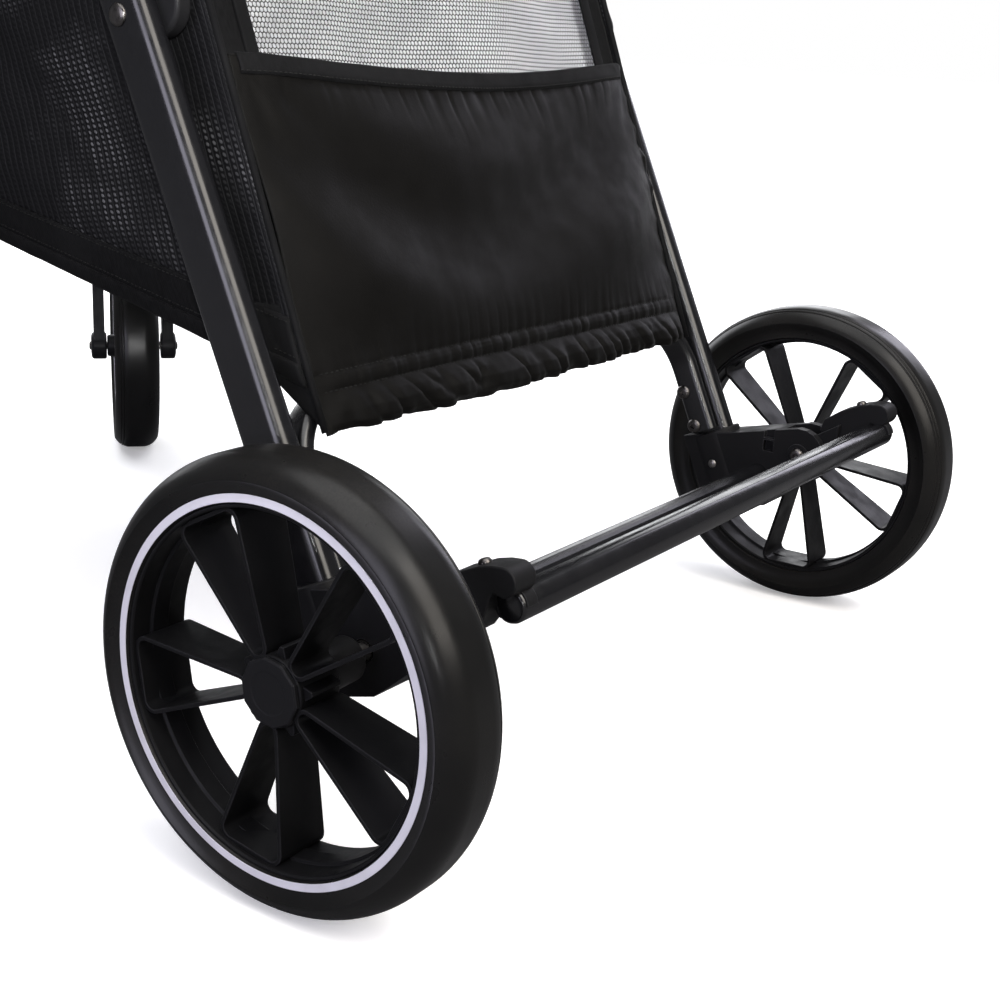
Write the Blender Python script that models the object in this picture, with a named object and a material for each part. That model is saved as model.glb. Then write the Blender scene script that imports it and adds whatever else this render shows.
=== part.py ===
"""Four-wheel folding pet stroller: frame, wheels, brake, handle, cabin and canopy as separate solids.

Metres, +Z up. The stroller drives towards -Y and its left side is +X. The origin is on the floor
below the middle of the rear axle.
"""
import math

import bmesh
import bpy
from mathutils import Matrix, Vector

GAP = 0.0003                      # clearance between pieces that touch

# Rear wheels
REAR_R = 0.120                    # tyre radius, also the height of the axle
REAR_X = 0.309                    # wheel mid-plane
REAR_TYRE_INNER = 0.0960
REAR_HUB_R = 0.019
AXLE_R = 0.006
AXLE_BORE = 0.0066
AXLE_END_X = 0.3216
TUBE_R = 0.008                    # tube round the axle between the legs

# Rear legs: flat-oval tubes that lean forwards on their way up
LEG_X = 0.237
LEG_WIDTH = 0.032
LEG_THICK = 0.017
LEG_CORNER = 0.0068
LEG_REF_Y, LEG_REF_Z = -0.0835, 0.218
LEG_SLOPE = 0.473                 # forward run for each unit of height
LEG_FOOT_Z = 0.100
LEG_TOP_PAST_HUB = 0.018

# Fold hubs
HUB_Z = 0.620
HUB_Y = LEG_REF_Y - (HUB_Z - LEG_REF_Z) * LEG_SLOPE
HUB_R = 0.036
HUB_LOWER_X = (0.2480, 0.2613)
HUB_UPPER_X = (0.2619, 0.2755)
PIN_R = 0.005
PIN_BORE = 0.0056

# Front legs and casters
FRONT_LEG_X = 0.262
STEM_Y = -0.744
LEG_MEETS_STEM_Z = 0.262
FRONT_R = 0.105
TRAIL = 0.030
FORK_HALF = 0.040
FORK_ARM = 0.011
YOKE_Z = (0.2150, 0.2330)
STEM_R = 0.007
STEM_TOP_Z = 0.275
CASTER_TURN = {"left": math.radians(-32.0), "right": math.radians(-40.0)}

# Leg housings and foot brake
HOUSING_X = (0.2215, 0.2525)
BRAKE_Y, BRAKE_Z = 0.031, 0.141   # lever pivot
BRAKE_DISC_R = 0.020
BAR_Y, BAR_Z = 0.085, 0.1650
BAR_R = 0.0095
BAR_HALF = 0.244

# Handle
HANDLE_LENGTH = 0.590             # hub to crossbar
HANDLE_BEND_R = 0.055

# Cabin
CABIN_X = (0.2090, 0.2130)        # side panel, inner and outer face
WALL_X = 0.2087
REAR_WALL_Y, REAR_WALL_Z = -0.156, 0.443
REAR_WALL_SLOPE = 0.391
CABIN_TOP_Z = 0.6030
CABIN_LOW_Z = 0.2520
FRONT_LOW = (-0.6200, 0.3480)
FRONT_TOP_Y = -0.6560
SKIN = 0.0040
PAD_THICK = 0.022

# Cabin ring
RING_X = 0.2185
RING_R = 0.008
RING_FRONT_Y = -0.6640
RING_BEND_R = 0.060

# Canopy
CANOPY_Y, CANOPY_Z = -0.300, 0.640
CANOPY_R = 0.300
BOW_R = 0.0045
BOW_FOOT_R = 0.056
BOW_ANGLES = {"rear": math.radians(80.0), "mid": math.radians(115.0), "front": math.radians(150.0)}
BOW_PLATE_X = {"rear": (0.2196, 0.2216), "mid": (0.2170, 0.2190), "front": (0.2144, 0.2164)}

SIDES = {"left": 1.0, "right": -1.0}

LEG_UNIT = Vector((0.0, -LEG_SLOPE, 1.0)).normalized()
HUB = Vector((0.0, HUB_Y, HUB_Z))
FRONT_ANGLE = math.atan2(HUB_Z - LEG_MEETS_STEM_Z, HUB_Y - STEM_Y)
HANDLE_UNIT = Vector((0.0, math.cos(FRONT_ANGLE), math.sin(FRONT_ANGLE)))
HANDLE_NORMAL = Vector((0.0, -math.sin(FRONT_ANGLE), math.cos(FRONT_ANGLE)))
FRONT_LEG_LENGTH = math.hypot(HUB_Z - LEG_MEETS_STEM_Z, HUB_Y - STEM_Y)
X_AXIS = Vector((1.0, 0.0, 0.0))


def clear_scene():
    for old in list(bpy.data.objects):
        bpy.data.objects.remove(old, do_unlink=True)


def make_materials():
    looks = {
        "rubber": ((0.018, 0.018, 0.018), 0.55, 0.0),
        "rim_plastic": ((0.013, 0.013, 0.014), 0.42, 0.0),
        "moulded_plastic": ((0.016, 0.016, 0.017), 0.48, 0.0),
        "black_tube": ((0.014, 0.014, 0.016), 0.36, 0.6),
        "steel": ((0.55, 0.55, 0.56), 0.30, 1.0),
        "foam": ((0.020, 0.020, 0.021), 0.80, 0.0),
        "polyester": ((0.022, 0.021, 0.020), 0.75, 0.0),
        "mesh_fabric": ((0.014, 0.014, 0.014), 0.85, 0.0),
        "pad_fabric": ((0.045, 0.045, 0.050), 0.85, 0.0),
        "button_plastic": ((0.16, 0.16, 0.17), 0.40, 0.0),
    }
    made = {}
    for name, (colour, roughness, metallic) in looks.items():
        material = bpy.data.materials.new(name)
        material.use_nodes = True
        shader = material.node_tree.nodes["Principled BSDF"]
        shader.inputs["Base Color"].default_value = (*colour, 1.0)
        shader.inputs["Roughness"].default_value = roughness
        shader.inputs["Metallic"].default_value = metallic
        made[name] = material
    return made


def finish_object(name, work, material=None, origin=(0.0, 0.0, 0.0)):
    """Turn a closed bmesh in world coordinates into an object with its origin at the given point."""
    bmesh.ops.recalc_face_normals(work, faces=work.faces)
    bmesh.ops.translate(work, verts=work.verts, vec=-Vector(origin))
    mesh = bpy.data.meshes.new(name)
    work.to_mesh(mesh)
    work.free()
    mesh.shade_smooth()
    mesh.set_sharp_from_angle(angle=math.radians(35.0))
    piece = bpy.data.objects.new(name, mesh)
    piece.location = origin
    if material is not None:
        mesh.materials.append(MATERIALS[material])
    bpy.context.scene.collection.objects.link(piece)
    return piece


def as_tool(piece):
    """A cutter or an added shape that is only a Boolean operand."""
    piece.hide_render = True
    piece.display_type = "WIRE"
    return piece


def combine(piece, tool, operation):
    step = piece.modifiers.new(f"{operation.lower()} {tool.name}", "BOOLEAN")
    step.operation = operation
    step.object = as_tool(tool)
    return piece


def ring_of(work, points):
    return [work.verts.new(point) for point in points]


def bridge(work, first, second, closed=True):
    count = len(first)
    for index in range(count if closed else count - 1):
        following = (index + 1) % count
        work.faces.new((first[index], first[following], second[following], second[index]))


def arc(centre, radius, start, end, steps):
    """Points on a circular arc, angles in degrees."""
    points = []
    for index in range(steps + 1):
        angle = math.radians(start + (end - start) * index / steps)
        points.append((centre[0] + radius * math.cos(angle), centre[1] + radius * math.sin(angle)))
    return points


def flat_oval(width, thick, corner, steps=3):
    """Rounded rectangle outline, width first."""
    half_w, half_t = width / 2 - corner, thick / 2 - corner
    points = []
    for index, (side_w, side_t) in enumerate(((1, 1), (-1, 1), (-1, -1), (1, -1))):
        start = 90.0 * index
        points += arc((side_w * half_w, side_t * half_t), corner, start, start + 90.0, steps)
    return points


def circle(radius, count):
    return [(radius * math.cos(math.tau * i / count), radius * math.sin(math.tau * i / count))
            for i in range(count)]


def prism_x(name, outline, low, high, material=None, origin=(0.0, 0.0, 0.0)):
    """Extrude a (y, z) outline along X."""
    work = bmesh.new()
    first = ring_of(work, [(low, y, z) for y, z in outline])
    second = ring_of(work, [(high, y, z) for y, z in outline])
    bridge(work, first, second)
    work.faces.new(first)
    work.faces.new(list(reversed(second)))
    return finish_object(name, work, material, origin)


def box(name, low, high, material=None, origin=(0.0, 0.0, 0.0)):
    outline = [(low[1], low[2]), (high[1], low[2]), (high[1], high[2]), (low[1], high[2])]
    return prism_x(name, outline, low[0], high[0], material, origin)


def turned(name, profile, centre, axis, material=None, segments=32, closed=False, origin=None):
    """Turn (distance along axis, radius) points round an axis.

    A closed profile makes a ring; an open one is capped at both ends.
    """
    centre, axis = Vector(centre), Vector(axis).normalized()
    side = axis.orthogonal().normalized()
    other = axis.cross(side)
    work = bmesh.new()
    rings = []
    for along, radius in profile:
        base = centre + axis * along
        rings.append(ring_of(work, [base + (side * math.cos(math.tau * i / segments)
                                            + other * math.sin(math.tau * i / segments)) * radius
                                    for i in range(segments)]))
    for first, second in zip(rings, rings[1:]):
        bridge(work, first, second)
    if closed:
        bridge(work, rings[-1], rings[0])
    else:
        work.faces.new(rings[0])
        work.faces.new(list(reversed(rings[-1])))
    return finish_object(name, work, material, centre if origin is None else origin)


def rod(name, radius, start, end, material=None, segments=16, origin=None):
    start, end = Vector(start), Vector(end)
    length = (end - start).length
    profile = [(0.0, radius), (length, radius)]
    return turned(name, profile, start, end - start, material, segments, origin=origin)


def pipe(name, outer, inner, start, end, material=None, segments=20):
    start, end = Vector(start), Vector(end)
    length = (end - start).length
    profile = [(0.0, inner), (0.0, outer), (length, outer), (length, inner)]
    return turned(name, profile, start, end - start, material, segments, closed=True)


def sweep(name, path, outline, normal, material=None, inner=None, origin=(0.0, 0.0, 0.0)):
    """Carry an outline along a path; the outline's first axis lies along the given normal."""
    path = [Vector(point) for point in path]
    work = bmesh.new()
    outer_rings, inner_rings = [], []
    for index, point in enumerate(path):
        before = path[max(index - 1, 0)]
        after = path[min(index + 1, len(path) - 1)]
        forward = (after - before).normalized()
        up = (Vector(normal) - forward * forward.dot(Vector(normal))).normalized()
        across = forward.cross(up)
        stretch = 1.0
        if 0 < index < len(path) - 1:
            half_turn = (point - before).angle(after - point) / 2
            stretch = 1.0 / math.cos(half_turn)
        outer_rings.append(ring_of(work, [point + up * u + across * v * stretch for u, v in outline]))
        if inner:
            inner_rings.append(ring_of(work, [point + up * u + across * v * stretch
                                              for u, v in inner]))
    for first, second in zip(outer_rings, outer_rings[1:]):
        bridge(work, first, second)
    if inner:
        for first, second in zip(inner_rings, inner_rings[1:]):
            bridge(work, first, second)
        bridge(work, outer_rings[0], inner_rings[0])
        bridge(work, outer_rings[-1], inner_rings[-1])
    else:
        work.faces.new(outer_rings[0])
        work.faces.new(list(reversed(outer_rings[-1])))
    return finish_object(name, work, material, origin)


def rounded_path(corners, radius, steps=6):
    """A path through corners, with each inner corner replaced by an arc."""
    corners = [Vector(corner) for corner in corners]
    path = [corners[0]]
    for before, corner, after in zip(corners, corners[1:], corners[2:]):
        to_before = (before - corner).normalized()
        to_after = (after - corner).normalized()
        half = to_before.angle(to_after) / 2
        centre = corner + (to_before + to_after).normalized() * (radius / math.sin(half))
        start = corner + to_before * (radius / math.tan(half)) - centre
        end = corner + to_after * (radius / math.tan(half)) - centre
        for index in range(steps + 1):
            path.append(centre + start.slerp(end, index / steps).normalized() * radius)
    path.append(corners[-1])
    return path


def thick_sheet(name, rows, material, thickness, origin=(0.0, 0.0, 0.0)):
    """A grid of points as a sheet with a thickness, laid to the side its faces point away from."""
    work = bmesh.new()
    loops = [ring_of(work, row) for row in rows]
    for first, second in zip(loops, loops[1:]):
        bridge(work, first, second, closed=False)
    bmesh.ops.recalc_face_normals(work, faces=work.faces)
    bmesh.ops.translate(work, verts=work.verts, vec=-Vector(origin))
    mesh = bpy.data.meshes.new(name)
    work.to_mesh(mesh)
    work.free()
    mesh.materials.append(MATERIALS[material])
    piece = bpy.data.objects.new(name, mesh)
    piece.location = origin
    bpy.context.scene.collection.objects.link(piece)
    wall = piece.modifiers.new("fabric thickness", "SOLIDIFY")
    wall.thickness = thickness
    wall.offset = 0.0
    return piece


def leg_point(height, x=0.0):
    return Vector((x, LEG_REF_Y - (height - LEG_REF_Z) * LEG_SLOPE, height))


def rear_plane_y(height, outward=0.0):
    return REAR_WALL_Y - (height - REAR_WALL_Z) * REAR_WALL_SLOPE + outward


def floor_line_z(y, up=0.0):
    low_y = rear_plane_y(CABIN_LOW_Z)
    slope = (FRONT_LOW[1] - CABIN_LOW_Z) / (FRONT_LOW[0] - low_y)
    return CABIN_LOW_Z + (y - low_y) * slope + up


# Wheels ----------------------------------------------------------------------------------------

def spoke_blades(name, centre, axis, first_angle, hub_r, rim_r, hub_half, rim_half, thick, depth):
    """Five pairs of flat blades between hub and rim, as one operand of separate solids."""
    axis = Vector(axis).normalized()
    work = bmesh.new()
    for arm in range(5):
        angle = first_angle + math.tau * arm / 5
        radial = Vector((0.0, math.cos(angle), math.sin(angle)))
        radial = (radial - axis * radial.dot(axis)).normalized()
        across = axis.cross(radial)
        for side in (-1.0, 1.0):
            loops = []
            for reach, half in ((hub_r, hub_half), (rim_r, rim_half)):
                middle = Vector(centre) + radial * reach + across * side * half
                loops.append(ring_of(work, [
                    middle + across * (thick / 2) + axis * depth[1],
                    middle - across * (thick / 2) + axis * depth[1],
                    middle - across * (thick / 2) + axis * depth[0],
                    middle + across * (thick / 2) + axis * depth[0]]))
            bridge(work, loops[0], loops[1])
            work.faces.new(loops[0])
            work.faces.new(list(reversed(loops[1])))
    return finish_object(name, work, origin=centre)


def rear_tyre_profile():
    half, shoulder, crown_half = 0.0257, 0.020, 0.0057
    outer = [(0.0188, REAR_TYRE_INNER), (0.0200, 0.1016), (0.0240, 0.1080)]
    outer += [(crown_half + shoulder * math.cos(math.radians(a)),
               REAR_R - shoulder + shoulder * math.sin(math.radians(a))) for a in (45, 68, 90)]
    inner = [(-crown_half - shoulder * math.cos(math.radians(a)),
              REAR_R - shoulder + shoulder * math.sin(math.radians(a))) for a in (90, 68, 45)]
    inner += [(-half + 0.0017, 0.1080), (-0.0200, 0.1016), (-0.0188, REAR_TYRE_INNER)]
    return outer + inner


def rear_wheel(side, sign):
    centre = (sign * REAR_X, 0.0, REAR_R)
    axis = (sign, 0.0, 0.0)
    turned(f"rear_tyre_{side}", rear_tyre_profile(), centre, axis, "rubber", 44, closed=True)
    barrel_outer = REAR_TYRE_INNER - GAP
    barrel = [(-0.0188, barrel_outer), (-0.0188, 0.0925), (0.0, 0.0915),
              (0.0188, 0.0925), (0.0188, barrel_outer)]
    rim = turned(f"rear_rim_{side}", barrel, centre, axis, "rim_plastic", 44, closed=True)
    hub = turned(f"rear_hub_{side}", [(-0.045, AXLE_BORE), (-0.045, 0.0125), (-0.016, REAR_HUB_R),
                                      (0.0130, REAR_HUB_R), (0.0130, AXLE_BORE)],
                 centre, axis, segments=20, closed=True)
    first_angle = math.radians(118.0 if side == "left" else 126.0)
    blades = spoke_blades(f"rear_blades_{side}", centre, axis, first_angle,
                          0.0165, 0.0920, 0.0064, 0.0195, 0.0024, (-0.0150, 0.0135))
    combine(hub, blades, "UNION")
    combine(rim, hub, "UNION")
    turned(f"rear_hub_cap_{side}", [(0.0138, 0.0180), (0.0155, 0.0180), (0.0165, 0.0168)],
           centre, axis, "moulded_plastic", 20)


def rear_axle():
    rod("rear_axle", AXLE_R, (-AXLE_END_X, 0.0, REAR_R), (AXLE_END_X, 0.0, REAR_R), "steel", 20)
    end = HOUSING_X[0] - GAP
    pipe("axle_tube", TUBE_R, AXLE_BORE, (-end, 0.0, REAR_R), (end, 0.0, REAR_R), "black_tube")


def caster_frame(side, sign):
    """Stem position and the two directions of a turned caster: trailing and sideways."""
    turn = Matrix.Rotation(CASTER_TURN[side], 3, "Z")
    stem = Vector((sign * FRONT_LEG_X, STEM_Y, 0.0))
    return stem, turn @ Vector((0.0, 1.0, 0.0)), turn @ X_AXIS


def front_wheel(side, sign):
    stem, trailing, sideways = caster_frame(side, sign)
    centre = stem + trailing * TRAIL + Vector((0.0, 0.0, FRONT_R))
    inner_r, half, shoulder = 0.0850, 0.0230, 0.0165
    crown_half = half - shoulder
    profile = [(0.0165, inner_r), (0.0180, 0.0895), (0.0218, 0.0945)]
    profile += [(crown_half + shoulder * math.cos(math.radians(a)),
                 FRONT_R - shoulder + shoulder * math.sin(math.radians(a))) for a in (45, 90)]
    profile += [(-along, radius) for along, radius in reversed(profile)]
    turned(f"front_tyre_{side}", profile, centre, sideways, "rubber", 36, closed=True)
    barrel_outer = inner_r - GAP
    barrel = [(-0.0165, barrel_outer), (-0.0165, 0.0820), (0.0165, 0.0820), (0.0165, barrel_outer)]
    rim = turned(f"front_rim_{side}", barrel, centre, sideways, "rim_plastic", 36, closed=True)
    hub = turned(f"front_hub_{side}", [(-0.0270, 0.0046), (-0.0270, 0.0100), (-0.0120, 0.0150),
                                       (0.0120, 0.0150), (0.0270, 0.0100), (0.0270, 0.0046)],
                 centre, sideways, segments=16, closed=True)
    blades = spoke_blades(f"front_blades_{side}", centre, sideways, math.radians(100.0),
                          0.0130, 0.0818, 0.0052, 0.0165, 0.0022, (-0.0115, 0.0115))
    combine(hub, blades, "UNION")
    combine(rim, hub, "UNION")
    head, head_r, pin_r = FORK_HALF + GAP, 0.0070, 0.0040
    turned(f"front_axle_{side}", [(-head - 0.0025, head_r), (-head, head_r), (-head, pin_r),
                                  (head, pin_r), (head, head_r), (head + 0.0025, head_r)],
           centre, sideways, "steel", 16)


def caster_fork(side, sign):
    stem, trailing, sideways = caster_frame(side, sign)

    def place(along, across, height):
        return stem + trailing * along + sideways * across + Vector((0.0, 0.0, height))

    def slab(name, outline, low, high, material=None):
        work = bmesh.new()
        first = ring_of(work, [place(s, low, z) for s, z in outline])
        second = ring_of(work, [place(s, high, z) for s, z in outline])
        bridge(work, first, second)
        work.faces.new(first)
        work.faces.new(list(reversed(second)))
        return finish_object(name, work, material, stem)

    yoke = [(-0.017, YOKE_Z[0]), (0.024, YOKE_Z[0]), (0.021, YOKE_Z[1]), (-0.017, YOKE_Z[1])]
    yoke_half = FORK_HALF - 0.0010
    fork = slab(f"caster_fork_{side}", yoke, -yoke_half, yoke_half, "moulded_plastic")
    arm = [(-0.0165, 0.2300), (-0.0165, 0.2120)]
    arm += arc((TRAIL, FRONT_R), 0.0135, 195.0, 345.0, 6)
    arm += [(0.0235, 0.2120), (0.0205, 0.2300)]
    for index, edge in enumerate((-FORK_HALF, FORK_HALF - FORK_ARM)):
        tool = slab(f"fork_arm_{side}_{index}", arm, edge, edge + FORK_ARM)
        combine(fork, tool, "UNION")
    stem_tool = rod(f"fork_stem_{side}", STEM_R, place(0, 0, 0.2250), place(0, 0, STEM_TOP_Z))
    combine(fork, stem_tool, "UNION")
    hole = rod(f"fork_hole_{side}", 0.0044, place(TRAIL, -0.05, FRONT_R),
               place(TRAIL, 0.05, FRONT_R))
    combine(fork, hole, "DIFFERENCE")


# Frame -----------------------------------------------------------------------------------------

def leg_outline(grow=0.0):
    return flat_oval(LEG_WIDTH + 2 * grow, LEG_THICK + 2 * grow, LEG_CORNER + grow)


def rear_leg(side, sign):
    normal = Vector((0.0, LEG_UNIT.z, -LEG_UNIT.y))
    foot = leg_point(LEG_FOOT_Z, sign * LEG_X)
    top = leg_point(HUB_Z, sign * LEG_X) + LEG_UNIT * LEG_TOP_PAST_HUB
    leg = sweep(f"rear_leg_{side}", [foot, top], leg_outline(), normal, "black_tube",
                origin=(sign * LEG_X, HUB_Y, HUB_Z))
    bore = rod(f"rear_leg_bore_{side}", PIN_BORE, (sign * 0.22, HUB_Y, HUB_Z),
               (sign * 0.25, HUB_Y, HUB_Z))
    combine(leg, bore, "DIFFERENCE")


def leg_housing(side, sign):
    low, high = HOUSING_X
    outline = [(-0.0665, 0.1375), (-0.0470, 0.0965), (-0.0400, 0.0890), (-0.0120, 0.0900),
               (0.0080, 0.0960), (0.0230, 0.1090)]
    outline += arc((BRAKE_Y, BRAKE_Z), BRAKE_DISC_R, -70.0, 95.0, 9)
    housing = prism_x(f"leg_housing_{side}", outline, sign * low, sign * high, "moulded_plastic")
    socket = sweep(f"leg_socket_{side}",
                   [leg_point(LEG_FOOT_Z - 0.0004, sign * LEG_X), leg_point(0.19, sign * LEG_X)],
                   leg_outline(0.0004), Vector((0.0, LEG_UNIT.z, -LEG_UNIT.y)))
    combine(housing, socket, "DIFFERENCE")
    bore = rod(f"housing_bore_{side}", AXLE_BORE, (sign * 0.21, 0.0, REAR_R),
               (sign * 0.26, 0.0, REAR_R), segments=20)
    combine(housing, bore, "DIFFERENCE")
    clevis = box(f"clevis_{side}", (sign * 0.2286, 0.0165, 0.1270), (sign * 0.2454, 0.070, 0.170))
    combine(housing, clevis, "DIFFERENCE")
    for index, base in enumerate((0.1390, 0.1490)):
        window = box(f"housing_window_{side}_{index}", (sign * 0.215, 0.0020, base),
                     (sign * 0.2262, 0.0105, base + 0.0085))
        combine(housing, window, "DIFFERENCE")
    pivot_bore = rod(f"housing_pivot_{side}", 0.0034, (sign * 0.21, BRAKE_Y, BRAKE_Z),
                     (sign * 0.26, BRAKE_Y, BRAKE_Z))
    combine(housing, pivot_bore, "DIFFERENCE")


def brake_lever(side, sign):
    low, high = HOUSING_X
    pivot = (BRAKE_Y, BRAKE_Z)
    clear_r = BRAKE_DISC_R + 0.0012
    outline = arc(pivot, clear_r, -10.0, 62.0, 5)
    outline += [(0.0500, 0.1735), (0.0680, 0.1870), (0.0860, 0.1925)]
    outline += arc((0.0980, 0.1845), 0.0090, 90.0, -90.0, 6)
    outline += [(0.0745, 0.1755), (0.0680, 0.1640), (0.0600, 0.1450)]
    lever = prism_x(f"brake_lever_{side}", outline, sign * low, sign * high, "moulded_plastic",
                    (sign * LEG_X, BRAKE_Y, BRAKE_Z))
    tongue = arc(pivot, 0.0120, 75.0, 315.0, 8) + [(0.0560, 0.1400), (0.0580, 0.1680)]
    tongue_tool = prism_x(f"lever_tongue_{side}", tongue, sign * 0.2290, sign * 0.2450)
    combine(lever, tongue_tool, "UNION")
    bore = rod(f"lever_bore_{side}", 0.0034, (sign * 0.22, BRAKE_Y, BRAKE_Z),
               (sign * 0.255, BRAKE_Y, BRAKE_Z))
    combine(lever, bore, "DIFFERENCE")
    shank, head = 0.0030, 0.0052
    start = low - 0.0030
    profile = [(0.0, head - 0.001), (0.0010, head), (0.0027, head), (0.0027, shank),
               (0.0365, shank)]
    turned(f"brake_pivot_{side}", profile, (sign * start, BRAKE_Y, BRAKE_Z), (sign, 0.0, 0.0),
           "steel", 16)


def brake_bar():
    """Foot bar with a D section: round behind, with a lip along its upper front edge."""
    outline = [(BAR_Y + a, BAR_Z + b) for a, b in arc((0.0, 0.0), BAR_R, 125.0, -95.0, 14)]
    outline += [(BAR_Y - 0.0060, BAR_Z - 0.0050), (BAR_Y - 0.0075, BAR_Z + 0.0030)]
    prism_x("brake_bar", outline, -BAR_HALF, BAR_HALF, "black_tube",
            (0.0, BRAKE_Y, BRAKE_Z))


def brace_arch():
    x, thick, width, radius = 0.2227, 0.0110, 0.0200, 0.045
    foot_z, top_z = 0.1452, 0.2310
    corners = [leg_point(foot_z, x), leg_point(top_z, x), leg_point(top_z, -x),
               leg_point(foot_z, -x)]
    path = rounded_path(corners, radius, 6)
    normal = Vector((0.0, LEG_UNIT.z, -LEG_UNIT.y))
    sweep("brace_arch", path, flat_oval(width, thick, 0.0045), normal, "black_tube")


def leg_bracket(side, sign):
    """Rounded plate on the inner face of the rear leg."""
    low = Vector((0.0, -0.178, 0.440))
    high = low + LEG_UNIT * 0.090
    radius = 0.018
    lean = math.degrees(math.atan2(LEG_UNIT.z, LEG_UNIT.y))
    outline = arc((low.y, low.z), radius, lean + 90.0, lean + 270.0, 8)
    outline += arc((high.y, high.z), radius * 0.85, lean - 90.0, lean + 90.0, 8)
    outer = LEG_X - LEG_THICK / 2 - GAP
    prism_x(f"leg_bracket_{side}", outline, sign * (outer - 0.0115), sign * outer,
            "moulded_plastic")


def fold_hub(side, sign):
    axis = (sign, 0.0, 0.0)
    for name, (low, high) in (("lower", HUB_LOWER_X), ("upper", HUB_UPPER_X)):
        depth = high - low
        profile = [(0.0, PIN_BORE), (0.0, HUB_R - 0.002), (0.002, HUB_R), (depth - 0.002, HUB_R),
                   (depth, HUB_R - 0.002), (depth, PIN_BORE)]
        turned(f"hub_{name}_{side}", profile, (sign * low, HUB_Y, HUB_Z), axis, "moulded_plastic",
               28, closed=True)
    start, nut, face = 0.2066, 0.0034, HUB_UPPER_X[1] + GAP - 0.2066
    profile = [(0.0, 0.0085), (nut, 0.0085), (nut, PIN_R), (face, PIN_R),
               (face, 0.0160), (face + 0.0020, 0.0160), (face + 0.0035, 0.0130)]
    turned(f"hub_pin_{side}", profile, (sign * start, HUB_Y, HUB_Z), axis, "steel", 20)


def front_leg(side, sign):
    base = Vector((sign * FRONT_LEG_X, HUB_Y, HUB_Z))
    start = base - HANDLE_UNIT * (HUB_R + 0.0005)
    end = base - HANDLE_UNIT * (FRONT_LEG_LENGTH - 0.018)
    sweep(f"front_leg_{side}", [start, end], leg_outline(), HANDLE_NORMAL, "black_tube")


def front_cross_tube():
    reach = 0.492
    middle = HUB - HANDLE_UNIT * reach
    end = FRONT_LEG_X - LEG_THICK / 2 - GAP
    rod("front_cross_tube", 0.009, (-end, middle.y, middle.z), (end, middle.y, middle.z),
        "black_tube", 16)


def caster_housing(side, sign):
    x = sign * FRONT_LEG_X
    low, high, radius = YOKE_Z[1] + 0.0006, 0.2920, 0.0215
    profile = [(0.0, radius - 0.001), (0.002, radius), (high - low - 0.004, radius),
               (high - low, radius - 0.006)]
    housing = turned(f"caster_housing_{side}", profile, (x, STEM_Y, low), (0.0, 0.0, 1.0),
                     "moulded_plastic", 24)
    base = Vector((x, HUB_Y, HUB_Z))
    mouth = base - HANDLE_UNIT * (FRONT_LEG_LENGTH - 0.085)
    heel = base - HANDLE_UNIT * (FRONT_LEG_LENGTH - 0.002)
    sleeve = sweep(f"housing_sleeve_{side}", [mouth, heel], flat_oval(0.044, 0.029, 0.009),
                   HANDLE_NORMAL)
    combine(housing, sleeve, "UNION")
    leg_end = base - HANDLE_UNIT * (FRONT_LEG_LENGTH - 0.0176)
    past_mouth = base - HANDLE_UNIT * (FRONT_LEG_LENGTH - 0.120)
    socket = sweep(f"housing_socket_{side}", [past_mouth, leg_end], leg_outline(0.0004),
                   HANDLE_NORMAL)
    combine(housing, socket, "DIFFERENCE")
    bore = rod(f"housing_stem_bore_{side}", STEM_R + 0.0006, (x, STEM_Y, low - 0.01),
               (x, STEM_Y, STEM_TOP_Z + 0.002))
    combine(housing, bore, "DIFFERENCE")


# Handle ----------------------------------------------------------------------------------------

def handle():
    bar_centre = HUB + HANDLE_UNIT * HANDLE_LENGTH
    left, right = X_AXIS * FRONT_LEG_X, X_AXIS * -FRONT_LEG_X
    start = HUB + HANDLE_UNIT * (HUB_R + 0.0005)
    path = rounded_path([start + left, bar_centre + left, bar_centre + right, start + right],
                        HANDLE_BEND_R, 6)
    sweep("handle_tube", path, leg_outline(), HANDLE_NORMAL, "black_tube", origin=HUB)
    inner = leg_outline(0.0004)
    for side, sign in SIDES.items():
        ends = [bar_centre + X_AXIS * sign * 0.0435, bar_centre + X_AXIS * sign * 0.1980]
        sweep(f"handle_grip_{side}", ends, flat_oval(0.041, 0.027, 0.0125), HANDLE_NORMAL,
              "foam", inner, HUB)
    ends = [bar_centre - X_AXIS * 0.0430, bar_centre + X_AXIS * 0.0430]
    switch = sweep("fold_switch_housing", ends, flat_oval(0.054, 0.034, 0.0140),
                   HANDLE_NORMAL, "moulded_plastic", inner, HUB)
    face = 0.027                  # outer face of the switch housing above the bar's centre
    pocket = key_block("switch_pocket", bar_centre, face - 0.0078, face + 0.01, 0.0136, 0.0076)
    combine(switch, pocket, "DIFFERENCE")
    key_block("fold_button", bar_centre, face - 0.0040, face + 0.0030, 0.0130, 0.0070,
              "button_plastic")


def key_block(name, centre, low, high, half_x, half_along, material=None):
    """A block on top of the switch housing, between two heights along the handle's normal."""
    work = bmesh.new()
    loops = []
    for height in (low, high):
        middle = centre + HANDLE_NORMAL * height
        loops.append(ring_of(work, [middle + X_AXIS * (half_x * a) + HANDLE_UNIT * (half_along * b)
                                    for a, b in ((1, 1), (-1, 1), (-1, -1), (1, -1))]))
    bridge(work, loops[0], loops[1])
    work.faces.new(loops[0])
    work.faces.new(list(reversed(loops[1])))
    return finish_object(name, work, material, centre)


# Cabin -----------------------------------------------------------------------------------------

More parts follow.
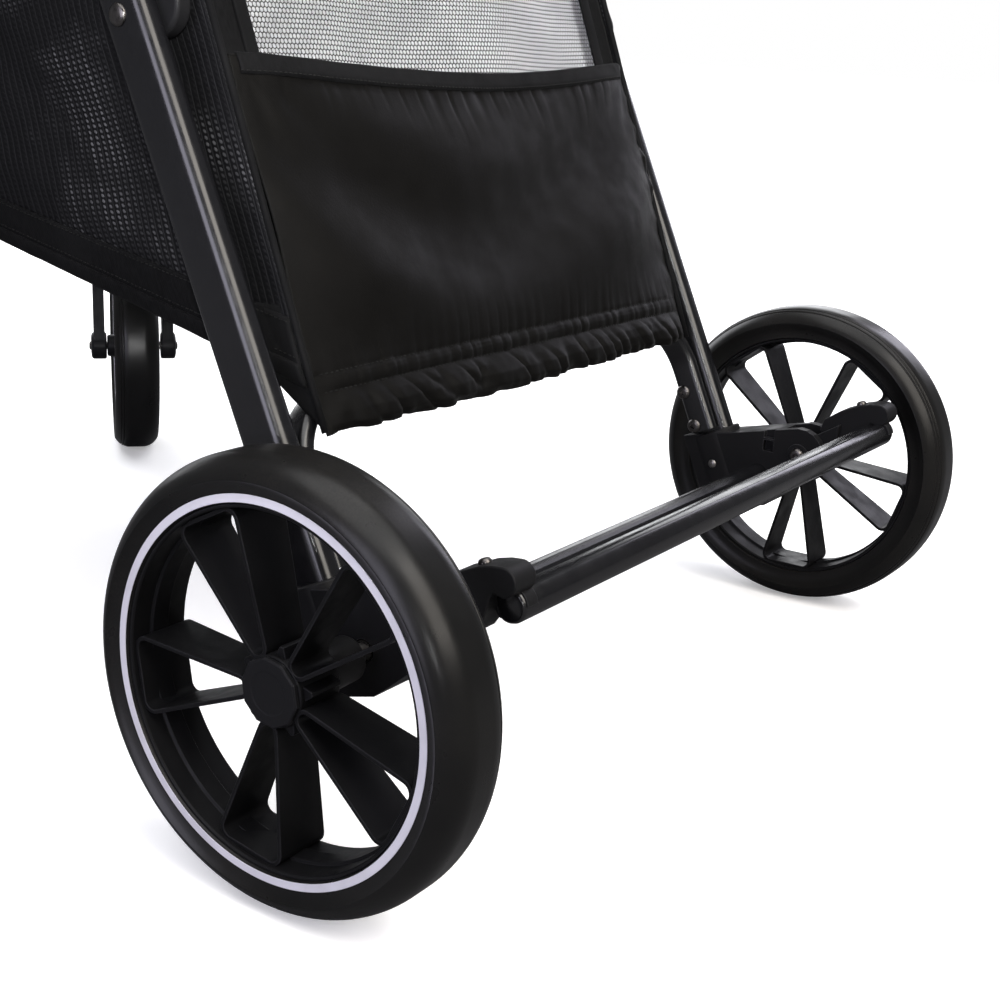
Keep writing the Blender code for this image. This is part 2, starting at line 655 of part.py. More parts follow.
def cabin_ring():
    back = (RING_X, HUB_Y + 0.020, HUB_Z)
    corners = [back, (RING_X, RING_FRONT_Y, HUB_Z), (-RING_X, RING_FRONT_Y, HUB_Z),
               (-RING_X, HUB_Y + 0.020, HUB_Z)]
    path = rounded_path(corners, RING_BEND_R, 6)
    ring = sweep("cabin_ring", path, circle(RING_R, 12), (0.0, 0.0, 1.0), "black_tube")
    for side, sign in SIDES.items():
        lug = box(f"canopy_lug_{side}", (sign * 0.2222, CANOPY_Y - 0.008, HUB_Z),
                  (sign * 0.2262, CANOPY_Y + 0.008, CANOPY_Z + 0.009))
        combine(ring, lug, "UNION")
        pivot = rod(f"canopy_pin_{side}", 0.0030, (sign * 0.2125, CANOPY_Y, CANOPY_Z),
                    (sign * 0.2240, CANOPY_Y, CANOPY_Z), segments=12)
        combine(ring, pivot, "UNION")
        bore = rod(f"ring_bore_{side}", PIN_BORE, (sign * 0.205, HUB_Y, HUB_Z),
                   (sign * 0.232, HUB_Y, HUB_Z))
        combine(ring, bore, "DIFFERENCE")


def ring_strut(side, sign):
    low = HUB - HANDLE_UNIT * 0.330 + X_AXIS * sign * 0.2455
    high = Vector((sign * 0.2340, -0.585, HUB_Z + 0.006))
    sweep(f"ring_strut_{side}", [low, high], circle(0.0070, 12), X_AXIS, "black_tube")


def cabin_panels():
    rear_low = (rear_plane_y(CABIN_LOW_Z), CABIN_LOW_Z)
    rear_top = (rear_plane_y(CABIN_TOP_Z), CABIN_TOP_Z)
    outline = [rear_low, rear_top, (FRONT_TOP_Y, CABIN_TOP_Z), FRONT_LOW]
    for side, sign in SIDES.items():
        prism_x(f"side_panel_{side}", outline, sign * CABIN_X[0], sign * CABIN_X[1], "mesh_fabric")
    skin = SKIN / math.cos(math.atan(REAR_WALL_SLOPE))
    prism_x("rear_wall", [rear_low, rear_top, (rear_top[0] - skin, CABIN_TOP_Z),
                          (rear_low[0] - skin, floor_line_z(rear_low[0] - skin))],
            -WALL_X, WALL_X, "mesh_fabric")
    prism_x("front_wall", [FRONT_LOW, (FRONT_TOP_Y, CABIN_TOP_Z),
                           (FRONT_TOP_Y + SKIN, CABIN_TOP_Z),
                           (FRONT_LOW[0] + SKIN, floor_line_z(FRONT_LOW[0] + SKIN))],
            -WALL_X, WALL_X, "polyester")
    floor_rear = rear_low[0] - skin - 0.0020
    floor_front = FRONT_LOW[0] + SKIN + GAP
    slab = [(floor_rear, floor_line_z(floor_rear)), (floor_front, floor_line_z(floor_front)),
            (floor_front, floor_line_z(floor_front, SKIN)),
            (floor_rear, floor_line_z(floor_rear, SKIN))]
    prism_x("cabin_floor", slab, -WALL_X, WALL_X, "polyester")
    pad_rear, pad_front, half = -0.1080, -0.6060, 0.2030
    low, high = SKIN + GAP, SKIN + GAP + PAD_THICK
    pad = [(pad_rear, floor_line_z(pad_rear, low)), (pad_front, floor_line_z(pad_front, low)),
           (pad_front, floor_line_z(pad_front, high)), (pad_rear, floor_line_z(pad_rear, high))]
    prism_x("floor_pad", pad, -half, half, "pad_fabric")


def rear_pocket():
    """Open-topped pocket on the rear wall, with a hem that hangs below the cabin floor."""
    half, hem_z, base_z, mouth_z = 0.2050, 0.2170, 0.2560, 0.4050
    touch, inside, outside = 0.0004, 0.0100, 0.0125
    outline = [(rear_plane_y(hem_z, outside), hem_z), (rear_plane_y(mouth_z, outside), mouth_z),
               (rear_plane_y(mouth_z, inside), mouth_z), (rear_plane_y(base_z, inside), base_z),
               (rear_plane_y(base_z, touch), base_z), (rear_plane_y(hem_z, touch), hem_z)]
    pocket = prism_x("rear_pocket", outline, -half, half, "polyester")
    inset, low, high = 0.0005, base_z - 0.0100, mouth_z - 0.0005
    edge = [(rear_plane_y(low, touch + inset), low), (rear_plane_y(low, outside - inset), low),
            (rear_plane_y(high, outside - inset), high), (rear_plane_y(high, touch + inset), high)]
    for side, sign in SIDES.items():
        strip = prism_x(f"pocket_edge_{side}", edge, sign * (half - 0.0030),
                        sign * (half - inset))
        combine(pocket, strip, "UNION")


# Canopy ----------------------------------------------------------------------------------------

def arch_curve(foot_r, top_r, half_x, steps):
    """Superellipse arch from one foot to the other, as (x, height) pairs."""
    power = 2.0 / 3.2
    curve = []
    for index in range(steps + 1):
        angle = math.pi * index / steps
        across = math.copysign(abs(math.cos(angle)) ** power, math.cos(angle)) * half_x
        curve.append((across, foot_r + (top_r - foot_r) * math.sin(angle) ** power))
    return curve


def canopy_point(x, radius, angle):
    return Vector((x, CANOPY_Y + radius * math.cos(angle), CANOPY_Z + radius * math.sin(angle)))


def canopy_bow(name):
    angle = BOW_ANGLES[name]
    plane_normal = Vector((0.0, -math.sin(angle), math.cos(angle)))
    path = [canopy_point(x, r, angle) for x, r in arch_curve(BOW_FOOT_R, CANOPY_R, RING_X, 18)]
    bow = sweep(f"canopy_bow_{name}", path, circle(BOW_R, 8), plane_normal, "black_tube",
                origin=(0.0, CANOPY_Y, CANOPY_Z))
    low, high = BOW_PLATE_X[name]
    reach, half = BOW_FOOT_R + 0.010, 0.0038
    along = Vector((math.cos(angle), math.sin(angle)))
    across = Vector((-along.y, along.x))
    eye = Vector((CANOPY_Y, CANOPY_Z))
    lean = math.degrees(angle)
    for side, sign in SIDES.items():
        outline = arc(eye, 0.0072, lean + 45.0, lean + 315.0, 8)
        outline += [tuple(eye + along * reach - across * half),
                    tuple(eye + along * reach + across * half)]
        plate = prism_x(f"bow_plate_{name}_{side}", outline, sign * low, sign * high)
        combine(bow, plate, "UNION")
        bore = rod(f"bow_bore_{name}_{side}", 0.0035, (sign * 0.211, CANOPY_Y, CANOPY_Z),
                   (sign * 0.2245, CANOPY_Y, CANOPY_Z), segments=12)
        combine(bow, bore, "DIFFERENCE")


def canopy_panel(name, first, second):
    """Fabric between two bows, kept the same distance from both all the way up."""
    margin = 0.0068
    start, end = BOW_ANGLES[first], BOW_ANGLES[second]
    curve = arch_curve(0.085, CANOPY_R, RING_X, 18)
    rows = []
    for index in range(5):
        share = index / 4
        rows.append([canopy_point(x, r, start + margin / r + (end - start - 2 * margin / r) * share)
                     for x, r in curve])
    thick_sheet(name, rows, "polyester", 0.0030, (0.0, CANOPY_Y, CANOPY_Z))


def canopy_rear_panel():
    """Fabric from the rear bow down to the rear wall: a side gusset and an upright window."""
    angle = BOW_ANGLES["rear"]
    offset = Vector((0.0, math.sin(angle), -math.cos(angle))) * 0.0070
    near_bow = [canopy_point(x, r, angle) + offset
                for x, r in arch_curve(0.085, CANOPY_R, RING_X - 0.002, 18)]
    base_z, foot_z, top_z = 0.6060, 0.6600, 0.9270
    base_y, top_y = rear_plane_y(CABIN_TOP_Z) - 0.002, -0.2360
    arch = arch_curve(foot_z, top_z, 0.2075, 18)
    rows = [near_bow]
    for share in (1.0, 0.66, 0.33, 0.0):
        row = []
        for x, z in arch:
            height = base_z + (z - base_z) * share
            lean = (height - base_z) / (top_z - base_z)
            row.append(Vector((x, base_y + (top_y - base_y) * lean, height)))
        rows.append(row)
    thick_sheet("canopy_rear_panel", rows, "mesh_fabric", 0.0030)


def build():
    for side, sign in SIDES.items():
        rear_wheel(side, sign)
        front_wheel(side, sign)
        caster_fork(side, sign)
        rear_leg(side, sign)
        leg_housing(side, sign)
        brake_lever(side, sign)
        leg_bracket(side, sign)
        fold_hub(side, sign)
        front_leg(side, sign)
        caster_housing(side, sign)
        ring_strut(side, sign)
    rear_axle()
    brake_bar()
    brace_arch()
    front_cross_tube()
    handle()
    cabin_ring()
    cabin_panels()
    rear_pocket()
    for name in BOW_ANGLES:
        canopy_bow(name)
    canopy_panel("canopy_mid_panel", "rear", "mid")
    canopy_panel("canopy_front_panel", "mid", "front")
    canopy_rear_panel()


clear_scene()
MATERIALS = make_materials()
build()
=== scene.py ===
"""Visual model of a folding pet stroller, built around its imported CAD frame.

Metres, +Z up. The stroller drives towards -Y and its left side is +X.
"""
import math

import bmesh
import bpy
import numpy as np
from mathutils import Matrix, Vector
from mathutils import noise as field


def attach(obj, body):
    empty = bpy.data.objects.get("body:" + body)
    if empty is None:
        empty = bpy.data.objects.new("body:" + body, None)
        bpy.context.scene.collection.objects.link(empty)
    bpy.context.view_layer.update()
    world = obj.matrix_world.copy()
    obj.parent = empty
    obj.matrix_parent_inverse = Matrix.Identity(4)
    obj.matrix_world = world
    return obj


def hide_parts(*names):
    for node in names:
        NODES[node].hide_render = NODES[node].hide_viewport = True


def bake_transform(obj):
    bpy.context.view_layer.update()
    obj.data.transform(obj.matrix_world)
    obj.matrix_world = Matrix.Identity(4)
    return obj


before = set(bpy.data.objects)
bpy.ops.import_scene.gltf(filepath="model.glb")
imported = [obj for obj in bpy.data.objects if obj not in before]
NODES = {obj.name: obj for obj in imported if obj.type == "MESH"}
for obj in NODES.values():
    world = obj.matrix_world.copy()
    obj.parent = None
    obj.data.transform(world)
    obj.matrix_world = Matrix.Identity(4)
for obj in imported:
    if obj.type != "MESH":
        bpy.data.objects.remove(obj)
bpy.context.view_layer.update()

SIDES = {"left": 1.0, "right": -1.0}
X_AXIS = Vector((1.0, 0.0, 0.0))
UP = Vector((0.0, 0.0, 1.0))

# Rear wheels, legs and brake, as in the CAD
REAR_X, REAR_R = 0.309, 0.120
LEG_X = 0.237
LEG_REF_Y, LEG_REF_Z, LEG_SLOPE = -0.0835, 0.218, 0.473
LEG_OUTLINE = (0.032, 0.017, 0.0068)
LEG_UNIT = Vector((0.0, -LEG_SLOPE, 1.0)).normalized()
LEG_NORMAL = Vector((0.0, LEG_UNIT.z, -LEG_UNIT.y))
BRAKE_Y, BRAKE_Z = 0.031, 0.141

# Fold hubs, front legs, casters and handle, as in the CAD
HUB_Z = 0.620
HUB_Y = LEG_REF_Y - (HUB_Z - LEG_REF_Z) * LEG_SLOPE
HUB = Vector((0.0, HUB_Y, HUB_Z))
HUB_R = 0.036
FRONT_LEG_X, STEM_Y, STEM_Z = 0.262, -0.744, 0.262
FRONT_R, TRAIL = 0.105, 0.030
CASTER_TURN = {"left": math.radians(-32.0), "right": math.radians(-40.0)}
FRONT_ANGLE = math.atan2(HUB_Z - STEM_Z, HUB_Y - STEM_Y)
FRONT_LEG_LENGTH = math.hypot(HUB_Z - STEM_Z, HUB_Y - STEM_Y)
HANDLE_UNIT = Vector((0.0, math.cos(FRONT_ANGLE), math.sin(FRONT_ANGLE)))
HANDLE_NORMAL = Vector((0.0, -math.sin(FRONT_ANGLE), math.cos(FRONT_ANGLE)))
HANDLE_LENGTH = 0.590

# Spokes of a wheel, and the rear wheel's sizes that the front ones scale from: the rim's radius,
# half of the tyre's width, and how far the rim's lip stands from the middle
ARMS = 5
REAR_RIM_R, REAR_HALF, RIM_LIP = 0.0957, 0.0257, 0.0188

# Cabin: its ring, its lower and upper edges, the slopes of its rear wall and floor, and half of the
# width of its ends, between its sides and between its linings
RING_X, RING_FRONT_Y = 0.2185, -0.6640
REAR_LOW_Z, CABIN_TOP_Z = 0.252, 0.603
FRONT_LOW, FRONT_TOP_Y = (-0.620, 0.348), -0.656
REAR_SLOPE, FLOOR_SLOPE = 0.391, -0.1782
CABIN_HALF, SIDE_X, LINING_X = 0.2086, 0.2110, 0.2035

# Canopy: the pivot and reach of its bows, and the steps along its arches
CANOPY_Y, CANOPY_Z, CANOPY_R = -0.300, 0.640, 0.300
BOW_ANGLES = {"rear": math.radians(80.0), "mid": math.radians(115.0), "front": math.radians(150.0)}
BOW_BODIES = {"rear": "front_frame", "mid": "canopy_mid", "front": "canopy_front"}
ARCH_STEPS = 120


# Materials -------------------------------------------------------------------------------------

class Shader:
    """One material's node tree, with short calls for the nodes that repeat."""

    def __init__(self, name, roughness, metallic=0.0, sheen=0.0, specular=0.5):
        self.material = bpy.data.materials.new(name)
        self.material.use_nodes = True
        self.tree = self.material.node_tree
        self.surface = self.tree.nodes["Principled BSDF"]
        self.coords = self.node("ShaderNodeTexCoord").outputs
        fixed = {"Roughness": roughness, "Metallic": metallic, "Specular IOR Level": specular}
        if sheen:
            fixed.update({"Sheen Weight": sheen, "Sheen Roughness": 0.45})
        for socket, value in fixed.items():
            self.surface.inputs[socket].default_value = value

    def node(self, kind, inputs=None, **settings):
        """A new node; each input is given a value or linked to another node's output."""
        made = self.tree.nodes.new(kind)
        for key, value in settings.items():
            setattr(made, key, value)
        for key, value in (inputs or {}).items():
            if isinstance(value, bpy.types.NodeSocket):
                self.tree.links.new(value, made.inputs[key])
            else:
                made.inputs[key].default_value = value
        return made

    def noise(self, scale, detail=3.0, stretch=(1.0, 1.0, 1.0), space="Object", turn=(0.0, 0.0, 0.0)):
        placed = self.node("ShaderNodeMapping", {"Vector": self.coords[space], "Scale": stretch,
                                                 "Rotation": turn})
        return self.node("ShaderNodeTexNoise", {"Scale": scale, "Detail": detail,
                                                "Vector": placed.outputs["Vector"]}).outputs["Fac"]

    def axes(self, vector):
        return self.node("ShaderNodeSeparateXYZ", {"Vector": vector}).outputs

    def math(self, operation, *terms):
        """One sum on numbers and sockets."""
        return self.node("ShaderNodeMath", dict(enumerate(terms)), operation=operation).outputs["Value"]

    def remap(self, value, low, high, to_low=0.0, to_high=1.0):
        return self.node("ShaderNodeMapRange", {"Value": value, "From Min": low, "From Max": high,
                                                "To Min": to_low, "To Max": to_high},
                         interpolation_type="SMOOTHSTEP").outputs["Result"]

    def mix(self, factor, *colours):
        first, second = ((*c, 1.0) if isinstance(c, tuple) else c for c in colours)
        return self.node("ShaderNodeMix", {"Factor": factor, 6: first, 7: second},
                         data_type="RGBA").outputs[2]

    def colour(self, value):
        self.tree.links.new(value, self.surface.inputs["Base Color"])

    def rough(self, scale, detail, low, high, start=0.3, end=0.7):
        """Roughness that wanders between low and high as a noise goes from start to end."""
        patches = self.remap(self.noise(scale, detail), start, end, low, high)
        self.tree.links.new(patches, self.surface.inputs["Roughness"])

    def bump(self, height, distance, strength):
        """Each bump starts from the normal that the one before it left."""
        step = self.node("ShaderNodeBump", {"Distance": distance, "Strength": strength,
                                            "Height": height})
        normal = self.surface.inputs["Normal"]
        if normal.is_linked:
            self.tree.links.new(normal.links[0].from_socket, step.inputs["Normal"])
        self.tree.links.new(step.outputs["Normal"], normal)

    def edges(self):
        """0 on flat faces and up to 1 along edges, for wear."""
        soft = self.node("ShaderNodeBevel", {"Radius": 0.0008}, samples=4)
        flat = self.node("ShaderNodeNewGeometry")
        product = self.node("ShaderNodeVectorMath", {0: soft.outputs["Normal"],
                                                     1: flat.outputs["Normal"]},
                            operation="DOT_PRODUCT")
        return self.remap(product.outputs["Value"], 0.995, 0.86)


def rubber_material(name, dark, light, grime):
    """Matt rubber with patches of dust."""
    s = Shader(name, 0.45, specular=0.20)
    patches = s.remap(s.noise(9.0, 4.0), 0.35, 0.7)
    fine = s.noise(900.0, 2.0)
    dust = s.math("MULTIPLY", s.remap(s.noise(12.0, 3.0), 0.4, 0.8), s.remap(fine, 0.3, 0.7))
    s.colour(s.mix(dust, s.mix(patches, dark, light), grime))
    s.rough(60.0, 4.0, 0.27, 0.34, 0.25, 0.75)
    s.bump(fine, 0.00006, 0.4)
    s.bump(s.noise(140.0, 3.0), 0.00010, 0.3)
    return s.material


def plastic_material(name, dark, worn, grain, low, high):
    """Grained plastic, a little lighter along worn edges."""
    s = Shader(name, 0.45, specular=0.10)
    wear = s.math("MULTIPLY", s.edges(), s.remap(s.noise(55.0, 4.0), 0.35, 0.65, 0.25, 1.0))
    s.colour(s.mix(wear, s.mix(s.noise(14.0, 3.0), dark, tuple(c * 1.5 for c in dark)), worn))
    s.rough(75.0, 3.0, low, high)
    s.bump(s.noise(grain, 2.0), 0.00012, 0.45)
    return s.material


def tube_material():
    """Black satin anodised tube with fine lengthwise draw lines and faint flecks."""
    s = Shader("black_tube", 0.28, specular=0.55)
    grain = s.noise(1600.0, 2.0)
    base = s.mix(s.noise(11.0, 3.0), (0.0028, 0.0028, 0.0034), (0.0050, 0.0050, 0.0058))
    s.colour(s.mix(s.remap(grain, 0.45, 0.75, 0.0, 0.4), base, (0.012, 0.012, 0.014)))
    s.rough(90.0, 3.0, 0.20, 0.27)
    s.bump(grain, 0.00002, 0.25)
    return s.material


def steel_material(name, dark, light):
    s = Shader(name, 0.3, metallic=1.0)
    s.colour(s.mix(s.noise(160.0, 4.0), dark, light))
    s.rough(260.0, 3.0, 0.22, 0.42)
    s.bump(s.noise(700.0, 2.0), 0.00005, 0.4)
    return s.material


def stripe_material():
    """Reflective pale lilac ring with a fine bead texture."""
    s = Shader("stripe", 0.5)
    s.colour(s.mix(s.remap(s.noise(40.0, 4.0), 0.4, 0.75), (0.63, 0.62, 0.68), (0.54, 0.53, 0.58)))
    s.rough(300.0, 2.0, 0.42, 0.6)
    s.bump(s.noise(1800.0, 1.0), 0.00006, 0.4)
    return s.material


def foam_material():
    s = Shader("foam_grip", 0.85)
    cells = s.node("ShaderNodeTexVoronoi", {"Scale": 900.0, "Vector": s.coords["Object"]})
    s.colour(s.mix(s.remap(s.noise(60.0, 4.0), 0.35, 0.7), (0.012, 0.012, 0.012),
                   (0.019, 0.019, 0.020)))
    s.rough(200.0, 2.0, 0.72, 0.92)
    s.bump(cells.outputs["Distance"], 0.0003, 0.6)
    return s.material


def weave_height(s, pitch):
    """Over-and-under threads along both directions of the sheet's own UV, in metres."""
    along = s.axes(s.coords["UV"])
    warp, weft = (s.math("SINE", s.math("MULTIPLY", along[axis], math.tau / pitch)) for axis in "XY")
    return s.math("MULTIPLY_ADD", s.math("MULTIPLY", warp, weft), 0.5)


def cloth_material(name, dark, light, pitch, sheen, low=0.55, high=0.75, painted_sparkle=None,
                   specular=0.12, painted_shadow=None):
    """Woven cloth with a thread pitch, roughness from low to high and, for some, painted highlights as
    pale specks of sparkle and a painted shadow over the top.
    """
    s = Shader(name, 0.65, sheen=sheen, specular=specular)
    slub = s.remap(s.noise(520.0, 3.0, (1.0, 0.35, 1.0), "UV"), 0.35, 0.65)
    base = s.mix(s.remap(s.noise(13.0, 4.0), 0.3, 0.7), dark, light)
    base = s.mix(s.math("MULTIPLY", slub, 0.35), base, tuple(c * 1.5 for c in light))
    if painted_sparkle:
        # Painted highlights: pale warm specks that stand in for glints off the weave
        sparkle_specks = s.remap(s.noise(430.0, 2.0), 0.70, 0.80)
        base = s.mix(s.math("MULTIPLY", sparkle_specks, 0.5), base, painted_sparkle)
    if painted_shadow:
        # Painted shadow: deeper black towards the top of the piece, with a wavy lower limit, where
        # shade falls on it
        wave = s.math("MULTIPLY_ADD", s.noise(7.0, 3.0, turn=(0.0, 0.0, 0.5)), 0.110)
        edge = s.math("ADD", s.axes(s.coords["Object"])["Z"], wave)
        base = s.mix(s.remap(edge, *painted_shadow), base, tuple(c * 0.25 for c in dark))
    s.colour(base)
    s.rough(55.0, 3.0, low, high)
    s.bump(weave_height(s, pitch), 0.00016, 0.5)
    s.bump(s.noise(700.0, 3.0), 0.00018, 0.45)
    return s.material


def knit_material():
    """Dense warp-knitted mesh: staggered rows of raised threads with a lighter glint in each."""
    s = Shader("knit_mesh", 0.6, specular=0.10)
    column, stitch = 0.0052, 0.0031
    wobble = s.node("ShaderNodeTexNoise", {"Scale": 16.0, "Vector": s.coords["UV"]})
    warp = s.node("ShaderNodeVectorMath", {0: wobble.outputs["Color"], 1: (0.0035, 0.0035, 0.0),
                                           2: s.coords["UV"]}, operation="MULTIPLY_ADD")
    place = s.axes(warp.outputs["Vector"])
    across = s.math("DIVIDE", place["X"], column)
    along = s.math("ADD", s.math("DIVIDE", place["Y"], stitch),
                   s.math("MULTIPLY", s.math("FLOOR", across), 0.5))
    u, v = (s.math("SUBTRACT", s.math("FRACT", value), 0.5) for value in (across, along))
    reach = s.math("ADD", *(s.math("POWER", s.math("ABSOLUTE", s.math("MULTIPLY", value, scale)), 2.0)
                            for value, scale in ((u, 3.4), (v, 2.5))))
    glint = s.remap(reach, 0.95, 0.15)
    second = s.math("ABSOLUTE", s.math("SUBTRACT", s.math("ABSOLUTE", u), 0.5))
    rib = s.remap(second, 0.16, 0.02)
    bands = s.remap(s.noise(8.0, 3.0, (1.0, 1.6, 1.0), "UV", (0.0, 0.0, 0.6)), 0.45, 0.62, 0.02, 1.0)
    lines = s.remap(s.noise(150.0, 2.0, (1.0, 0.06, 1.0), "UV"), 0.35, 0.65, 0.35, 1.0)
    lit = s.math("MULTIPLY", s.math("MULTIPLY", glint, bands), lines)
    base = s.mix(rib, (0.0030, 0.0030, 0.0034), (0.0070, 0.0070, 0.0076))
    s.colour(s.mix(lit, base, (0.095, 0.095, 0.100)))
    s.rough(90.0, 3.0, 0.5, 0.7)
    s.bump(s.math("SUBTRACT", s.math("MULTIPLY", glint, 0.7), rib), 0.0005, 0.6)
    return s.material


def fleece_material():
    s = Shader("lining", 0.9, sheen=0.3)
    weave = weave_height(s, 0.0016)
    s.colour(s.mix(s.remap(s.noise(30.0, 4.0), 0.3, 0.7), (0.72, 0.72, 0.74), (0.86, 0.86, 0.87)))
    s.rough(90.0, 3.0, 0.85, 0.97)
    s.bump(weave, 0.0003, 0.5)
    s.bump(s.noise(420.0, 3.0), 0.0005, 0.5)
    return s.material


def thread_material():
    s = Shader("thread", 0.6, specular=0.12)
    s.colour(s.mix(s.noise(500.0, 2.0), (0.0025, 0.0025, 0.0025), (0.010, 0.010, 0.0095)))
    s.rough(900.0, 2.0, 0.5, 0.75)
    s.bump(s.noise(2200.0, 1.0), 0.0001, 0.6)
    return s.material


MATERIALS = {
    "rubber": rubber_material("tyre_rubber", (0.0050, 0.0050, 0.0050), (0.0085, 0.0082, 0.0078),
                              (0.014, 0.013, 0.012)),
    "rim": plastic_material("rim_plastic", (0.0048, 0.0048, 0.0052), (0.040, 0.040, 0.044), 1300.0,
                            0.36, 0.50),
    "moulded": plastic_material("moulded_plastic", (0.0068, 0.0068, 0.0074), (0.050, 0.050, 0.055),
                                900.0, 0.42, 0.58),
    "button": plastic_material("button_plastic", (0.13, 0.13, 0.14), (0.30, 0.30, 0.31), 900.0,
                               0.35, 0.5),
    "tube": tube_material(),
    "steel": steel_material("steel", (0.16, 0.15, 0.15), (0.34, 0.33, 0.32)),
    "dark_steel": steel_material("dark_steel", (0.060, 0.055, 0.053), (0.150, 0.142, 0.138)),
    "stripe": stripe_material(),
    "foam": foam_material(),
    # Polyester and pocket cloth carry painted sparkle: pale specks that stand in for glints off the
    # weave
    "polyester": cloth_material("polyester", (0.0026, 0.0025, 0.0024), (0.0056, 0.0053, 0.0050),
                                0.0011, 0.02, 0.50, 0.66, (0.05, 0.045, 0.035), 0.045),
    # The pocket cloth also carries a painted shadow over its top, whose mask range is its last pair of
    # numbers
    "pocket": cloth_material("pocket_cloth", (0.0078, 0.0072, 0.0065), (0.0150, 0.0138, 0.0124),
                             0.0011, 0.02, 0.44, 0.58, (0.110, 0.096, 0.074), 0.055,
                             (0.390, 0.425)),
    "binding": cloth_material("binding", (0.0024, 0.0024, 0.0026), (0.0046, 0.0046, 0.0049),
                              0.0016, 0.01, 0.7, 0.85, specular=0.06),
    "knit": knit_material(),
    "net": cloth_material("net_thread", (0.020, 0.020, 0.020), (0.045, 0.045, 0.045), 0.0012, 0.0),
    "canopy": cloth_material("canopy_cloth", (0.0060, 0.0060, 0.0064), (0.0090, 0.0090, 0.0096),
                             0.0012, 0.06, 0.55, 0.75),
    "lining": fleece_material(),
    "thread": thread_material(),
}


# Meshes ----------------------------------------------------------------------------------------

def make_piece(name, verts, faces, look, body, nodes=(), uv=None, sharp=35.0):
    """A mesh in the row frame that rides on a body and stands for the given CAD nodes."""
    mesh = bpy.data.meshes.new(name)
    mesh.from_pydata([tuple(v) for v in verts], [], [tuple(f) for f in faces])
    if uv is not None:
        layer = mesh.uv_layers.new(name="metres")
        for loop in mesh.loops:
            layer.data[loop.index].uv = uv[loop.vertex_index]
    work = bmesh.new()
    work.from_mesh(mesh)
    bmesh.ops.recalc_face_normals(work, faces=work.faces)
    work.to_mesh(mesh)
    work.free()
    mesh.shade_smooth()
    if sharp:
        mesh.set_sharp_from_angle(angle=math.radians(sharp))
    mesh.materials.append(MATERIALS[look])
    piece = bpy.data.objects.new(name, mesh)
    bpy.context.scene.collection.objects.link(piece)
    if body:
        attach(piece, body)
    if nodes:
        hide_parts(*nodes)
    return piece


def bevel(piece, width, segments=2, angle=35.0):
    step = piece.modifiers.new("rounded edges", "BEVEL")
    step.width = width
    step.segments = segments
    step.limit_method = "ANGLE"
    step.angle_limit = math.radians(angle)
    step.harden_normals = True
    return piece


def clamp(value, low=0.0, high=1.0):
    return min(max(value, low), high)


def swell(share):
    """0 at both edges of a strip and 1 in its middle, steep at the edges."""
    return math.sin(math.pi * share) ** 0.5 if 0.0 < share < 1.0 else 0.0


def run_lengths(points):
    """Distance from the first point to each point along a polyline."""
    lengths = [0.0]
    for a, b in zip(points, points[1:]):
        lengths.append(lengths[-1] + (b - a).length)
    return lengths


def around(axis):
    """Two directions square to an axis and to each other."""
    side = axis.orthogonal().normalized()
    return side, axis.cross(side)


def arc(centre, radius, start, end, steps):
    """Points round a centre from one angle to another, in degrees."""
    angles = [math.radians(start + (end - start) * i / steps) for i in range(steps + 1)]
    return [(centre[0] + radius * math.cos(a), centre[1] + radius * math.sin(a)) for a in angles]


def flat_oval(width, thick, corner, steps=6):
    """Outline of a rectangle with rounded corners."""
    points = []
    for index, (w, t) in enumerate(((1, 1), (-1, 1), (-1, -1), (1, -1))):
        centre = (w * (width / 2 - corner), t * (thick / 2 - corner))
        points += arc(centre, corner, 90.0 * index, 90.0 * index + 90.0, steps)
    return points


def circle(radius, count):
    return [(radius * math.cos(math.tau * i / count), radius * math.sin(math.tau * i / count))
            for i in range(count)]


def tube_faces(rings, count, closed=False, split=False):
    """Quads between rings of points, with an end face on a tube that isn't closed on itself.

    split leaves each ring open between its last and first point.
    """
    faces = []
    for ring in range(rings if closed else rings - 1):
        following = (ring + 1) % rings
        for i in range(count - 1 if split else count):
            j = (i + 1) % count
            faces.append((ring * count + i, ring * count + j, following * count + j,
                          following * count + i))
    if not closed:
        faces.append(tuple(reversed(range(count))))
        faces.append(tuple((rings - 1) * count + i for i in range(count)))
    return faces


def turned(name, profile, centre, axis, look, body, nodes=(), segments=96, closed=True, sharp=35.0):
    """Turn (distance along axis, radius) points round an axis; closed makes a ring."""
    centre, axis = Vector(centre), Vector(axis).normalized()
    side, other = around(axis)
    verts = []
    for u, v in circle(1.0, segments):
        verts += [centre + axis * along + (side * u + other * v) * radius for along, radius in profile]
    count = len(profile)
    faces = tube_faces(segments, count, closed=True, split=not closed)
    if not closed:
        faces += [tuple(step * count + end for step in range(segments)) for end in (0, count - 1)]
    return make_piece(name, verts, faces, look, body, nodes, sharp=sharp)


def ring_points(centre, across, up, radius, count):
    """A circle of points in the plane of two directions."""
    return [centre + (across * u + up * v) * radius for u, v in circle(1.0, count)]


def polygon_reach(angle, sides):
    """How far a regular polygon reaches at an angle, as a share of its inner radius."""
    return 1.0 / math.cos(angle % (math.tau / sides) - math.pi / sides)


def swept_points(path, outline, normal):
    """The outline repeated along the path: its first axis along normal, mitred at bends."""
    path = [Vector(point) for point in path]
    verts = []
    for index, point in enumerate(path):
        before, after = path[max(index - 1, 0)], path[min(index + 1, len(path) - 1)]
        forward = (after - before).normalized()
        up = (Vector(normal) - forward * forward.dot(Vector(normal))).normalized()
        across = forward.cross(up)
        stretch = 1.0
        if 0 < index < len(path) - 1:
            stretch = 1.0 / math.cos((point - before).angle(after - point) / 2)
        verts += [point + up * u + across * v * stretch for u, v in outline]
    return verts


